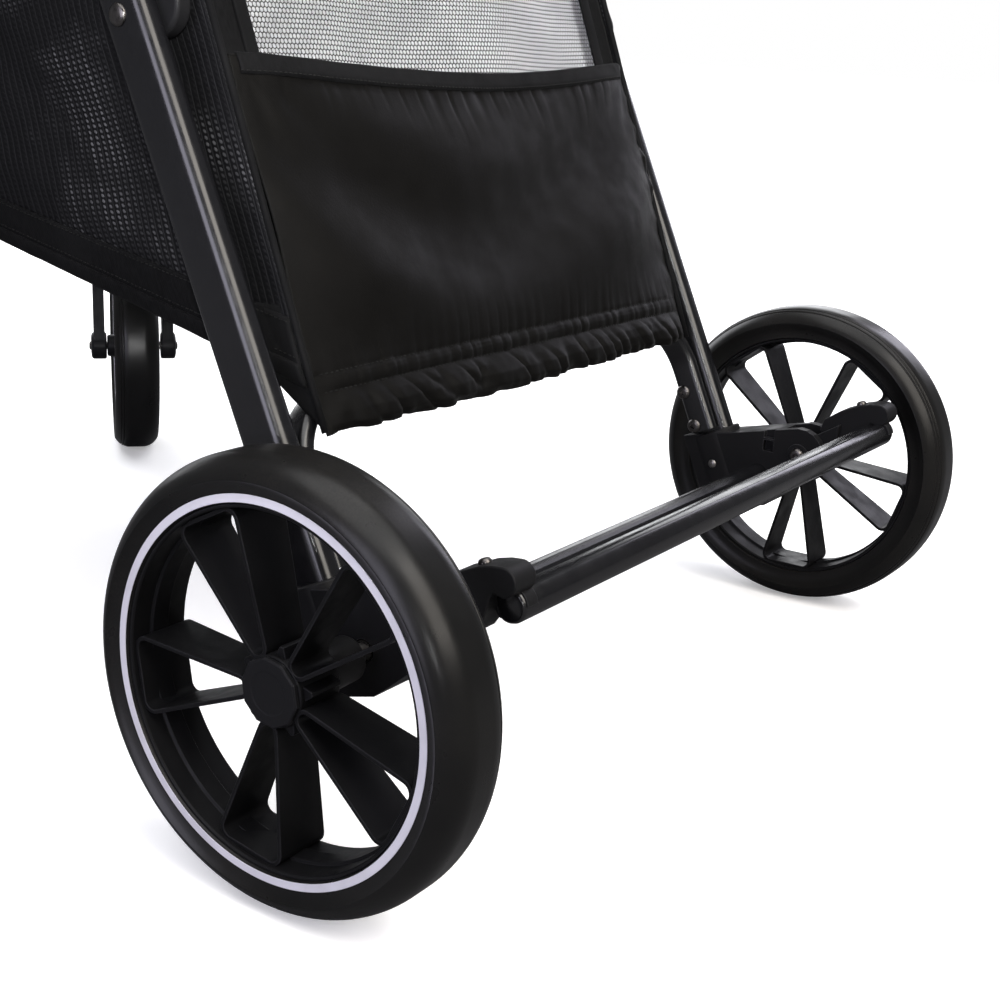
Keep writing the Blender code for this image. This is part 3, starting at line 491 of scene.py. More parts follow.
def sweep(name, path, outline, normal, look, body, nodes=(), sharp=35.0):
    verts = swept_points(path, outline, normal)
    return make_piece(name, verts, tube_faces(len(path), len(outline)), look, body, nodes,
                      sharp=sharp)


def prism_x(name, outline, low, high, look, body, nodes=(), sharp=35.0):
    """A plate square to X between two places, given in either order."""
    verts = [(x, y, z) for x in sorted((low, high)) for y, z in outline]
    return make_piece(name, verts, tube_faces(2, len(outline)), look, body, nodes, sharp=sharp)


def rounded_path(corners, radius, steps=18):
    """A line through corners that are rounded to a radius."""
    corners = [Vector(corner) for corner in corners]
    path = [corners[0]]
    for before, corner, after in zip(corners, corners[1:], corners[2:]):
        to_before, to_after = (before - corner).normalized(), (after - corner).normalized()
        half = to_before.angle(to_after) / 2
        centre = corner + (to_before + to_after).normalized() * (radius / math.sin(half))
        start = corner + to_before * (radius / math.tan(half)) - centre
        end = corner + to_after * (radius / math.tan(half)) - centre
        path += [centre + start.slerp(end, i / steps).normalized() * radius
                 for i in range(steps + 1)]
    path.append(corners[-1])
    return path


def joined(parts):
    """One (verts, faces) pair from several."""
    verts, faces = [], []
    for more_verts, more_faces in parts:
        offset = len(verts)
        verts += list(more_verts)
        faces += [tuple(i + offset for i in face) for face in more_faces]
    return verts, faces


# Wheels ----------------------------------------------------------------------------------------

def tyre_profile(size):
    """From the outer rim edge over the tread to the inner one, with fine grooves in the tread."""
    radius, half, shoulder, inner = (size[key] for key in ("radius", "half", "shoulder", "rim"))
    ring_inner, ring_outer = size["ring"]
    crown = half - shoulder
    centre_r = radius - shoulder
    lip = RIM_LIP * half / REAR_HALF
    side = lip + 0.0012
    crease = 24.0
    points = [(lip, inner), (lip + 0.0003, ring_inner - 0.0003), (side, ring_inner),
              (side, ring_outer), (side + 0.0002, ring_outer + 0.0005),
              (side + 0.0014, ring_outer + 0.0035)]
    x_crease = crown + shoulder * math.cos(math.radians(crease))
    r_crease = centre_r + shoulder * math.sin(math.radians(crease))
    points += [(x_crease - 0.0012, r_crease - 0.0012), (x_crease - 0.0002, r_crease - 0.0001)]
    points += arc((crown, centre_r), shoulder, crease + 3.0, 90.0, 12)
    back = arc((-crown, centre_r), shoulder, 90.0, 156.0, 26)
    for index in (9, 13):  # the two grooves
        x, r = back[index]
        back[index] = (x * 0.992, r - 0.0007)
    points += back
    points += [(-side - 0.0014, ring_outer + 0.0035), (-side, ring_outer), (-side, ring_inner),
               (-lip, inner)]
    return points


def arm_loop(root, tip, root_half, tip_half, corner, thick, x_root, x_tip):
    """Closed wall of one spoke: a small lobe at the hub, two blades and a rounded end at the rim.

    Points are (radial, across, axial) with the wall's outer and inner faces.
    """
    lean = math.atan2(tip_half - root_half, tip - root)
    side = math.degrees(lean)
    path = arc((root, 0.0), root_half, 270.0 - side, 90.0 + side, 8)
    path += arc((tip - corner, tip_half - corner), corner, 90.0 + side, 8.0, 6)
    path += arc((tip - corner, -tip_half + corner), corner, -8.0, -90.0 - side, 6)
    count = len(path)
    rings = [[], [], [], []]
    for index, (rho, tau) in enumerate(path):
        before, after = Vector(path[index - 1]), Vector(path[(index + 1) % count])
        along = (after - before).normalized()
        normal = Vector((-along.y, along.x))
        share = clamp((rho - root) / (tip - root))
        high = x_root[1] + (x_tip[1] - x_root[1]) * share
        low = x_root[0] + (x_tip[0] - x_root[0]) * share
        for ring, (offset, level) in enumerate(((thick / 2, low), (thick / 2, high),
                                                (-thick / 2, high), (-thick / 2, low))):
            rings[ring].append((rho + normal.x * offset, tau + normal.y * offset, level))
    verts = [point for ring in rings for point in ring]
    return verts, tube_faces(4, count, closed=True)


def spoke_frame(axis, angle):
    """Directions along and across a spoke at an angle round a wheel's axis."""
    radial = Vector((0.0, math.cos(angle), math.sin(angle)))
    radial = (radial - axis * radial.dot(axis)).normalized()
    return radial, axis.cross(radial)


def caster_axle(side, sign):
    """Middle of a front wheel's axle, and the direction along it."""
    turn = Matrix.Rotation(CASTER_TURN[side], 3, "Z")
    trailing = turn @ Vector((0.0, 1.0, 0.0))
    return Vector((sign * FRONT_LEG_X, STEM_Y, FRONT_R)) + trailing * TRAIL, turn @ X_AXIS


def placed_arms(centre, axis, first_angle, loop):
    """The same (verts, faces) set at every spoke of a wheel."""
    axis = Vector(axis).normalized()
    verts, faces = loop
    parts = []
    for arm in range(ARMS):
        radial, across = spoke_frame(axis, first_angle + math.tau * arm / ARMS)
        parts.append(([Vector(centre) + radial * r + across * t + axis * x for r, t, x in verts],
                      faces))
    return joined(parts)


def wheel(name, centre, axis, body, size, first_angle, nodes):
    """Tyre, rim and spokes of one wheel, outer side along +axis.

    Sizes are the rear wheel's: k scales distances from the axle, w distances along it.
    """
    k = size["rim"] / REAR_RIM_R
    w = size["half"] / REAR_HALF
    ring_inner, ring_outer = size["ring"]
    bevel(turned(f"tyre_{name}", tyre_profile(size), centre, axis, "rubber", body, (nodes[0],),
                 segments=160, sharp=30.0), 0.0003, 2, 30.0)
    lip = RIM_LIP * w
    side = lip + 0.0012
    for label, sign in size["stripes"]:
        sunk, lifted = sign * (side - 0.0004), sign * (side + 0.00025)
        ring = turned(f"stripe_{name}_{label}",
                      [(sunk, ring_inner + 0.0002), (lifted, ring_inner + 0.0004),
                       (lifted, ring_outer - 0.0004), (sunk, ring_outer - 0.0002)],
                      centre, axis, "stripe", body, segments=160)
    barrel = [(lip, 0.0955 * k), (lip, 0.0942 * k), (0.0178 * w, 0.0934 * k),
              (0.0070 * w, 0.0928 * k), (0.0062 * w, 0.0912 * k), (-0.0040 * w, 0.0906 * k),
              (-0.0048 * w, 0.0922 * k), (-0.0178 * w, 0.0932 * k), (-lip, 0.0940 * k),
              (-lip, 0.0955 * k)]
    bevel(turned(f"rim_{name}", barrel, centre, axis, "rim", body, (nodes[1],), segments=120,
                 sharp=25.0), 0.0004, 2, 25.0)
    loop = arm_loop(0.0236 * k, 0.0918 * k, 0.0056 * k, 0.0200 * k, 0.0060 * k, 0.0024,
                    (-0.0150 * w, 0.0130 * w), (-0.0178 * w, 0.0160 * w))
    arms = placed_arms(centre, axis, first_angle, loop)
    bevel(make_piece(f"spokes_{name}", *arms, "rim", body), 0.0005)
    core = 0.0190 * k
    sleeve = size["sleeve"]
    hub = [(-sleeve, 0.0066), (-sleeve, 0.0115 * k), (-sleeve + 0.0015, 0.0125 * k),
           (-0.0180 * w, 0.0132 * k), (-0.0165 * w, core * 0.94), (-0.0155 * w, core),
           (0.0125 * w, core), (0.0133 * w, core * 0.97), (0.0133 * w, 0.0066)]
    bevel(turned(f"hub_{name}", hub, centre, axis, "rim", body, segments=64, sharp=30.0), 0.0004)
    rib = [(r, t, level) for level in (-0.0110 * w, 0.0105 * w)
           for r, t in ((core * 0.9, -0.0045 * k), (0.0240 * k, -0.0012), (0.0240 * k, 0.0012),
                        (core * 0.9, 0.0045 * k))]
    ribs = placed_arms(centre, axis, first_angle + math.pi / ARMS, (rib, tube_faces(2, 4)))
    bevel(make_piece(f"hub_ribs_{name}", *ribs, "rim", body), 0.0006)


def hub_cap(name, centre, axis, body, first_angle, radius, low, high, nodes=()):
    """Flat ten-sided cap with a chamfer and a shallow recessed disc."""
    axis = Vector(axis).normalized()
    sides, steps = 10, 40
    verts = []
    for level, scale in ((low, 1.0), (high - 0.0008, 1.0), (high, 0.95), (high, 0.62),
                         (high - 0.0004, 0.60)):
        for step in range(steps):
            angle = math.tau * step / steps
            reach = radius * scale
            if scale > 0.8:
                reach *= math.cos(math.pi / sides) * polygon_reach(angle, sides)
            radial, _ = spoke_frame(axis, first_angle + angle)
            verts.append(Vector(centre) + radial * reach + axis * level)
    piece = make_piece(name, verts, tube_faces(5, steps), "moulded", body, nodes, sharp=20.0)
    return bevel(piece, 0.0003)


def build_wheels():
    rear = {"radius": REAR_R, "half": REAR_HALF, "shoulder": 0.020, "rim": REAR_RIM_R,
            "ring": (0.0963, 0.1013), "sleeve": 0.0445, "stripes": (("outer", 1.0),)}
    front = {"radius": FRONT_R, "half": 0.0230, "shoulder": 0.0165, "rim": 0.0847,
             "ring": (0.0852, 0.0892), "sleeve": 0.0265,
             "stripes": (("outer", 1.0), ("inner", -1.0))}
    arm_angle = {"left": math.radians(118.1), "right": math.radians(127.0)}
    for side, sign in SIDES.items():
        centre, axis = (sign * REAR_X, 0.0, REAR_R), (sign, 0.0, 0.0)
        body = f"rear_wheel_{side}"
        wheel(f"rear_{side}", centre, axis, body, rear, arm_angle[side],
              (f"rear_tyre_{side}", f"rear_rim_{side}"))
        hub_cap(f"cap_rear_{side}", centre, axis, body, arm_angle[side] + math.pi / 10, 0.0186,
                0.0136, 0.0163, (f"rear_hub_cap_{side}",))
        middle, sideways = caster_axle(side, sign)
        wheel(f"front_{side}", middle, sideways * sign, f"front_wheel_{side}", front,
              math.radians(100.0), (f"front_tyre_{side}", f"front_rim_{side}"))


# Frame -----------------------------------------------------------------------------------------

def leg_point(height, x=0.0):
    """A point on the rear legs' centre line."""
    return Vector((x, LEG_REF_Y - (height - LEG_REF_Z) * LEG_SLOPE, height))


def keep_cad(names, look, width=0.0006, segments=2):
    """CAD nodes whose shape is right stay, with a finished material and softened edges."""
    for name in names:
        node = NODES[name]
        node.data.materials.clear()
        node.data.materials.append(MATERIALS[look])
        if width:
            bevel(node, width, segments, 30.0)


def both(*stems):
    """Each name with its side's ending."""
    return [f"{stem}_{side}" for stem in stems for side in SIDES]


def button_screw(name, centre, axis, body, radius, socket=True, look="dark_steel"):
    """Round-headed screw with a hexagonal socket, or a plain rivet head."""
    centre, axis = Vector(centre), Vector(axis).normalized()
    profile = [(-0.0012, radius * 0.98), (0.0003, radius), (0.0010, radius * 0.94),
               (0.0018, radius * 0.78), (0.0022, radius * 0.55)]
    if not socket:
        profile += [(0.0024, radius * 0.25), (0.0024, 0.0001)]
        return turned(name, profile, centre, axis, look, body, segments=32, closed=False)
    side, other = around(axis)
    segments = 36
    verts = []
    for along, r in profile:
        verts += ring_points(centre + axis * along, side, other, r, segments)
    hexagon = [radius * 0.36 * polygon_reach(math.tau * i / segments, 6) for i in range(segments)]
    for along in (0.0022, 0.0002):
        verts += [centre + axis * along + (side * u + other * v) * r
                  for (u, v), r in zip(circle(1.0, segments), hexagon)]
    return make_piece(name, verts, tube_faces(7, segments), look, body, sharp=25.0)


def build_rear_frame():
    outline = flat_oval(*LEG_OUTLINE)
    body = "rear_frame"
    for side, sign in SIDES.items():
        foot, top = leg_point(0.1004, sign * LEG_X), leg_point(HUB_Z, sign * LEG_X) + LEG_UNIT * 0.018
        sweep(f"leg_rear_{side}", [foot, top], outline, LEG_NORMAL, "tube", body,
              (f"rear_leg_{side}",))
        outer, inner = (sign, 0, 0), (-sign, 0, 0)
        for index, (y, z) in enumerate(((-0.068, 0.173), (-0.056, 0.148))):
            button_screw(f"brace_screw_{side}_{index}", (sign * 0.2171, y, z), inner, body, 0.0054)
        button_screw(f"housing_rivet_{side}", (sign * 0.2214, -0.039, 0.120), inner, body, 0.0036,
                     socket=False, look="steel")
        button_screw(f"leg_rivet_{side}", (sign * 0.2456, -0.187, 0.433), outer, body, 0.0064,
                     socket=False)
        button_screw(f"lever_screw_{side}", (sign * 0.2430, 0.0680, 0.1836), (0, -0.41, 0.91),
                     "brake", 0.0036)
        build_lever(side, sign)
        button_screw(f"pivot_screw_{side}", (sign * 0.2186, BRAKE_Y, BRAKE_Z), inner, body, 0.0052)
        build_bracket(side, sign)
        washer = [(0.0, 0.0055), (0.0, 0.0084), (0.0012, 0.0084), (0.0012, 0.0055)]
        bevel(turned(f"pivot_washer_{side}", washer, (sign * 0.2213, BRAKE_Y, BRAKE_Z), inner,
                     "moulded", body, segments=40), 0.0003)
        boss_path = [leg_point(0.1020, sign * LEG_X), leg_point(0.1425, sign * LEG_X)]
        bevel(sweep(f"leg_boss_{side}", boss_path, flat_oval(0.0400, 0.0324, 0.0150, 10),
                    LEG_NORMAL, "moulded", body), 0.0012, 3)
        hub_cover(side, sign)

    foot_z, top_z, brace_x = 0.1452, 0.2310, 0.2227
    corners = [leg_point(z, x) for z, x in ((foot_z, brace_x), (top_z, brace_x), (top_z, -brace_x),
                                            (foot_z, -brace_x))]
    sweep("brace", rounded_path(corners, 0.045), flat_oval(0.0200, 0.0110, 0.0045), LEG_NORMAL,
          "tube", body, ("brace_arch",))
    build_brake_bar()


def finish_cad_parts():
    """Looks and softened edges for the frame's CAD nodes that nothing replaces."""
    keep_cad(["axle_tube", "cabin_ring"], "tube", 0.0)
    keep_cad(["rear_axle"], "steel", 0.0005)
    keep_cad(both("leg_housing"), "moulded", 0.0014, 3)
    keep_cad(both("brake_pivot", "hub_pin", "front_axle"), "steel", 0.0003)
    keep_cad(both("hub_lower", "hub_upper"), "moulded", 0.0008)
    keep_cad(both("caster_housing", "caster_fork"), "moulded", 0.0016, 3)
    keep_cad(["fold_switch_housing"], "moulded", 0.0018, 3)
    keep_cad(["fold_button"], "button", 0.0010, 3)
    keep_cad(["front_cross_tube"] + both("ring_strut"), "tube", 0.0004)


def build_bracket(side, sign):
    """Rounded plate on the inner face of the rear leg, where the cabin is held."""
    low = Vector((0.0, -0.178, 0.440))
    high = low + LEG_UNIT * 0.090
    lean = math.degrees(math.atan2(LEG_UNIT.z, LEG_UNIT.y))
    outline = arc((low.y, low.z), 0.0180, lean + 90.0, lean + 270.0, 40)
    outline += arc((high.y, high.z), 0.0153, lean - 90.0, lean + 90.0, 40)
    plate = prism_x(f"bracket_{side}", outline, sign * 0.2167, sign * 0.2282, "moulded",
                    "rear_frame", (f"leg_bracket_{side}",), sharp=30.0)
    bevel(plate, 0.0028, 4, 30.0)


def build_lever(side, sign):
    """Pedal arm with a rounded end, on a tongue that sits between the housing's cheeks."""
    pivot = (BRAKE_Y, BRAKE_Z)
    outline = arc(pivot, 0.0212, -10.0, 62.0, 10)
    outline += [(0.0440, 0.1690), (0.0555, 0.1774), (0.0704, 0.1843), (0.0780, 0.1864)]
    outline += arc((0.0850, 0.1792), 0.0080, 98.0, -88.0, 16)
    outline += [(0.0800, 0.1722), (0.0776, 0.1690), (0.0765, 0.1630), (0.0745, 0.1560),
                (0.0700, 0.1490), (0.0600, 0.1440)]
    arm = prism_x(f"lever_{side}", outline, sign * 0.2335, sign * 0.2525, "moulded", "brake",
                  (f"brake_lever_{side}",))
    bevel(arm, 0.0026, 4)
    tongue = arc(pivot, 0.0120, 75.0, 315.0, 16) + [(0.0560, 0.1400), (0.0580, 0.1680)]
    bevel(prism_x(f"lever_tongue_{side}", tongue, sign * 0.2290, sign * 0.2450, "moulded", "brake"),
          0.0008)


def hub_cover(side, sign):
    """Raised ring round the centre of the outer hub."""
    profile = [(-0.001, 0.0235), (0.0012, 0.0235), (0.0020, 0.0245), (0.0020, 0.0310),
               (0.0008, 0.0325), (-0.001, 0.0325)]
    bevel(turned(f"hub_ring_{side}", profile, (sign * 0.2756, HUB_Y, HUB_Z), (sign, 0, 0),
                 "moulded", "handle", segments=72), 0.0003)


def build_brake_bar():
    """Foot bar: round underneath and behind, with a flatter facet along its upper front."""
    y, z, r = 0.085, 0.1650, 0.0095
    outline = arc((y, z), r, 66.0, -118.0, 26)
    outline += arc((y - 0.0048, z + 0.0030), 0.0038, 196.0, 118.0, 8)
    stations = [(0.2450, 0.80), (0.2442, 0.94), (0.2425, 1.0)]
    stations = [(-x, scale) for x, scale in stations] + stations[::-1]
    verts = [(x, y + (py - y) * scale, z + (pz - z) * scale)
             for x, scale in stations for py, pz in outline]
    make_piece("foot_bar", verts, tube_faces(len(stations), len(outline)), "tube", "brake",
               ("brake_bar",), sharp=50.0)
    collar = arc((y, z), r + 0.0008, 8.0, 236.0, 30) + arc((y, z), r - 0.0012, 236.0, 8.0, 30)
    for side, sign in SIDES.items():
        bevel(prism_x(f"bar_collar_{side}", collar, sign * 0.2340, sign * 0.2432, "moulded",
                      "brake"), 0.0003)


def build_front_frame():
    outline = flat_oval(*LEG_OUTLINE)
    body = "front_frame"
    hub_edge = HANDLE_UNIT * (HUB_R - 0.003)
    for side, sign in SIDES.items():
        base = Vector((sign * FRONT_LEG_X, HUB_Y, HUB_Z))
        foot = base - HANDLE_UNIT * (FRONT_LEG_LENGTH - 0.018)
        sweep(f"leg_front_{side}", [base - hub_edge, foot], outline, HANDLE_NORMAL, "tube", body,
              (f"front_leg_{side}",))
        rivet = base - HANDLE_UNIT * (FRONT_LEG_LENGTH - 0.055) + X_AXIS * sign * 0.0146
        button_screw(f"caster_rivet_{side}", rivet, (sign, 0, 0), body, 0.0040, socket=False,
                     look="steel")
        middle, sideways = caster_axle(side, sign)
        profile = [(0.0272, 0.0050), (0.0272, 0.0125), (0.0285, 0.0138), (0.0402, 0.0138),
                   (0.0418, 0.0126), (0.0426, 0.0100), (0.0428, 0.0050)]
        for label, axis in (("a", sideways), ("b", -sideways)):
            bevel(turned(f"fork_boss_{side}_{label}", profile, middle, axis, "moulded",
                         f"caster_{side}", segments=48), 0.0005)
            button_screw(f"fork_nut_{side}_{label}", middle + axis * 0.0424, axis,
                         f"caster_{side}", 0.0046)
    bar = HUB + HANDLE_UNIT * HANDLE_LENGTH
    start = HUB + hub_edge
    left = X_AXIS * FRONT_LEG_X
    path = rounded_path([start + left, bar + left, bar - left, start - left], 0.055)
    sweep("push_handle", path, outline, HANDLE_NORMAL, "tube", "handle", ("handle_tube",))
    for side, sign in SIDES.items():
        build_grip(side, sign, bar)
    sweep("ring_tube", ring_path(HUB_Y + 0.020)[1:-1], circle(0.0081, 28), UP, "tube", body)


def ring_path(end_y):
    """The cabin ring's line, from one side's rear end round the front to the other's."""
    return rounded_path([(x, y, HUB_Z) for x, y in (
        (RING_X, end_y), (RING_X, RING_FRONT_Y), (-RING_X, RING_FRONT_Y), (-RING_X, end_y))], 0.060)


def build_grip(side, sign, bar):
    """Foam sleeve with soft ends and shallow finger waves."""
    outline = flat_oval(0.041, 0.027, 0.0125, 10)
    steps, start, length = 60, 0.0440, 0.1535
    verts = []
    for index in range(steps + 1):
        share = index / steps
        point = bar + X_AXIS * sign * (start + length * share)
        to_end = min(share, 1.0 - share) * length
        scale = 1.0 - 0.10 * max(0.0, 1.0 - to_end / 0.006) ** 2
        scale *= 0.985 + 0.012 * math.cos(share * math.tau * 5.0)
        verts += [point + (HANDLE_NORMAL * u + HANDLE_UNIT * v) * scale for u, v in outline]
    piece = make_piece(f"grip_{side}", verts, tube_faces(steps + 1, len(outline)), "foam",
                       "handle", (f"handle_grip_{side}",), sharp=50.0)
    bevel(piece, 0.0010, 3, 50.0)


# Soft goods ------------------------------------------------------------------------------------

def rear_plane(x, height, outward=0.0):
    """A point on the rear wall's plane, moved outward along its normal."""
    length = math.hypot(1.0, REAR_SLOPE)
    return Vector((x, -0.156 - (height - 0.443) * REAR_SLOPE + outward / length,
                   height + outward * REAR_SLOPE / length))


REAR_NORMAL = rear_plane(0.0, 0.4, 1.0) - rear_plane(0.0, 0.4)


def floor_line(y, up=0.0):
    """A point on the cabin floor's slope, moved up along its normal."""
    length = math.hypot(1.0, FLOOR_SLOPE)
    return Vector((0.0, y - up * FLOOR_SLOPE / length,
                   0.252 + (y + 0.0813) * FLOOR_SLOPE + up / length))


def fold_noise(x, y, scale, seed):
    """Smooth folds of several sizes, between about -1 and 1."""
    return field.fractal(Vector((x * scale, y * scale, seed)), 0.9, 2.1, 4)


def grid_piece(name, place, columns, rows, look, nodes=(), keep=None, thick=0.0009,
               body="front_frame"):
    """A cloth built from place(u, v), with a UV in metres and its own thickness."""
    points = [[place(i / columns, j / rows) for i in range(columns + 1)] for j in range(rows + 1)]
    across = run_lengths(points[rows // 2])
    along = run_lengths([row[columns // 2] for row in points])
    verts = [point for row in points for point in row]
    uv = [(x, y) for y in along for x in across]
    faces = []
    area = 0.0
    for j in range(rows):
        for i in range(columns):
            a = j * (columns + 1) + i
            face = (a, a + 1, a + columns + 2, a + columns + 1)
            p, q, r, s = (verts[corner] for corner in face)
            if keep and not keep((p + r) / 2):
                continue
            faces.append(face)
            area += (r - p).cross(s - q).length / 2
    used = sorted({index for face in faces for index in face})
    order = {old: new for new, old in enumerate(used)}
    piece = make_piece(name, [verts[i] for i in used],
                       [tuple(order[i] for i in face) for face in faces], look, body, nodes,
                       uv=[uv[i] for i in used], sharp=0.0)
    shell = piece.modifiers.new("cloth thickness", "SOLIDIFY")
    shell.thickness = thick
    shell.offset = 0.0
    piece["flat"] = (max(across[-1], 0.011), max(along[-1], 0.011))
    piece["cut"] = area
    return piece


def declare_sheet(piece):
    """Works out a flat size from the grid, with a gathered cloth's area spread over both directions;
    the result is not kept.
    """
    width, length = piece["flat"]
    spread = math.sqrt(max(piece["cut"] / (width * length), 1.0))
    width, length = width * spread, length * spread


def stitch_row(name, points, lifts, length=0.0024, gap=0.0011, body="front_frame"):
    """Short raised threads along a seam; lifts is one direction, or one for each point."""
    if isinstance(lifts, Vector):
        lifts = [lifts] * len(points)
    radius = 0.00036
    lengths = run_lengths(points)
    parts = []
    start = gap
    cursor = 0
    while start + length < lengths[-1]:
        ends = []
        for reach in (start, start + length):
            while lengths[cursor + 1] < reach:
                cursor += 1
            share = (reach - lengths[cursor]) / (lengths[cursor + 1] - lengths[cursor])
            ends.append(points[cursor].lerp(points[cursor + 1], share))
        lift = lifts[cursor].normalized()
        across = (ends[1] - ends[0]).normalized().cross(lift)
        verts = []
        for share, scale, rise in ((0.0, 0.35, -0.0002), (0.22, 1.0, 0.0002), (0.78, 1.0, 0.0002),
                                   (1.0, 0.35, -0.0002)):
            middle = ends[0].lerp(ends[1], share) + lift * rise
            verts += ring_points(middle, across, lift, radius * scale, 6)
        parts.append((verts, tube_faces(4, 6)))
        start += length + gap
        cursor = max(cursor - 1, 0)
    return make_piece(name, *joined(parts), "thread", body, sharp=0.0)


def cord(name, path, radius, normal, sides=12):
    """Piping or a rolled edge."""
    return sweep(name, path, circle(radius, sides), normal, "binding", "front_frame", sharp=0.0)


def line(a, b, steps):
    a, b = Vector(a), Vector(b)
    return [a.lerp(b, i / steps) for i in range(steps + 1)]


def hex_net(name, place, width, height, pitch, keep, thread=0.00038):
    """Six-sided netting: a flat ring of thread round every hole; place(x, y) sets it in position."""
    reach = pitch / math.sqrt(3.0)
    hole = reach - thread * 2 / math.sqrt(3.0)
    compass = [(math.cos(angle), math.sin(angle))
               for angle in (math.radians(60.0 * corner + 30.0) for corner in range(6))]
    index, verts, faces = {}, [], []
    for row in range(int(height / (1.5 * reach)) + 2):
        for column in range(int(width / pitch) + 2):
            cx = -width / 2 + pitch * (column + 0.5 * (row % 2))
            cy = 1.5 * reach * row
            if not keep(cx, cy):
                continue
            outer, inner = [], []
            for c, s in compass:
                x, y = cx + reach * c, cy + reach * s
                key = (round(x / pitch * 8), round(y / pitch * 8))
                if key not in index:
                    index[key] = len(verts)
                    verts.append(place(x, y))
                outer.append(index[key])
                inner.append(len(verts))
                verts.append(place(cx + hole * c, cy + hole * s))
            for corner in range(6):
                following = (corner + 1) % 6
                faces.append((outer[corner], outer[following], inner[following], inner[corner]))
    return make_piece(name, verts, faces, "net", "front_frame", sharp=0.0)


def front_line(share, back=0.0, up=0.0):
    """(y, z) on the front panel, from its bottom edge to its top."""
    return (FRONT_LOW[0] + (FRONT_TOP_Y - FRONT_LOW[0]) * share + back,
            FRONT_LOW[1] + (CABIN_TOP_Z - FRONT_LOW[1]) * share + up)


def rounded_corner(point, along_side, wide=SIDE_X, inset=0.0):
    """Higher up the cabin, its two front corners follow the ring's rounded ones."""
    v = (point.z - FRONT_LOW[1]) / (CABIN_TOP_Z - FRONT_LOW[1])
    weight = clamp((v - 0.25) / 0.75)
    weight = weight * weight * (3.0 - 2.0 * weight)
    radius = 0.055
    front, _ = front_line(min(v, 1.0), inset)
    reach = point.y - front if along_side else wide - abs(point.x)
    if weight == 0.0 or reach >= radius:
        return point
    angle = (1.0 - max(reach, 0.0) / radius) * math.pi / 4
    near, far = radius * (1.0 - math.cos(angle)), radius * (1.0 - math.sin(angle))
    inward, back = (near, far) if along_side else (far, near)
    target = Vector((math.copysign(wide - inward, point.x), front + back, point.z))
    return point.lerp(target, weight)


def side_point(sign, u, v, lift=0.0):
    """Side cloth: u from rear to front, v from the bottom edge to the top."""
    low = Vector((0.0, -0.0813, REAR_LOW_Z)).lerp(Vector((0.0, *FRONT_LOW)), u)
    top = Vector((0.0, -0.2186, CABIN_TOP_Z)).lerp(Vector((0.0, FRONT_TOP_Y, CABIN_TOP_Z)), u)
    point = low.lerp(top, v)
    y, z = point.y, point.z
    held = max(0.0, math.sin(math.pi * clamp(u))) ** 0.6
    held *= max(0.0, math.sin(math.pi * clamp(v))) ** 0.7
    drape = 0.0
    for centre, slope, width, depth in ((0.365, 0.55, 0.022, 0.0036), (0.318, 0.30, 0.015, -0.0022),
                                        (0.470, 0.75, 0.030, 0.0030), (0.415, -0.35, 0.018, -0.0020),
                                        (0.285, -0.10, 0.012, 0.0020)):
        offset = z - centre + (y + 0.25) * slope
        drape -= depth * math.exp(-(offset / width) ** 2)
    drape += 0.0030 * fold_noise(y, z, 9.0, 3.1 + sign) + 0.0010 * fold_noise(y, z, 30.0, 8.0)
    x = SIDE_X + clamp((0.0060 + drape) * held, -0.010, 0.0046) + lift
    return rounded_corner(Vector((sign * x, y, z)), along_side=True)


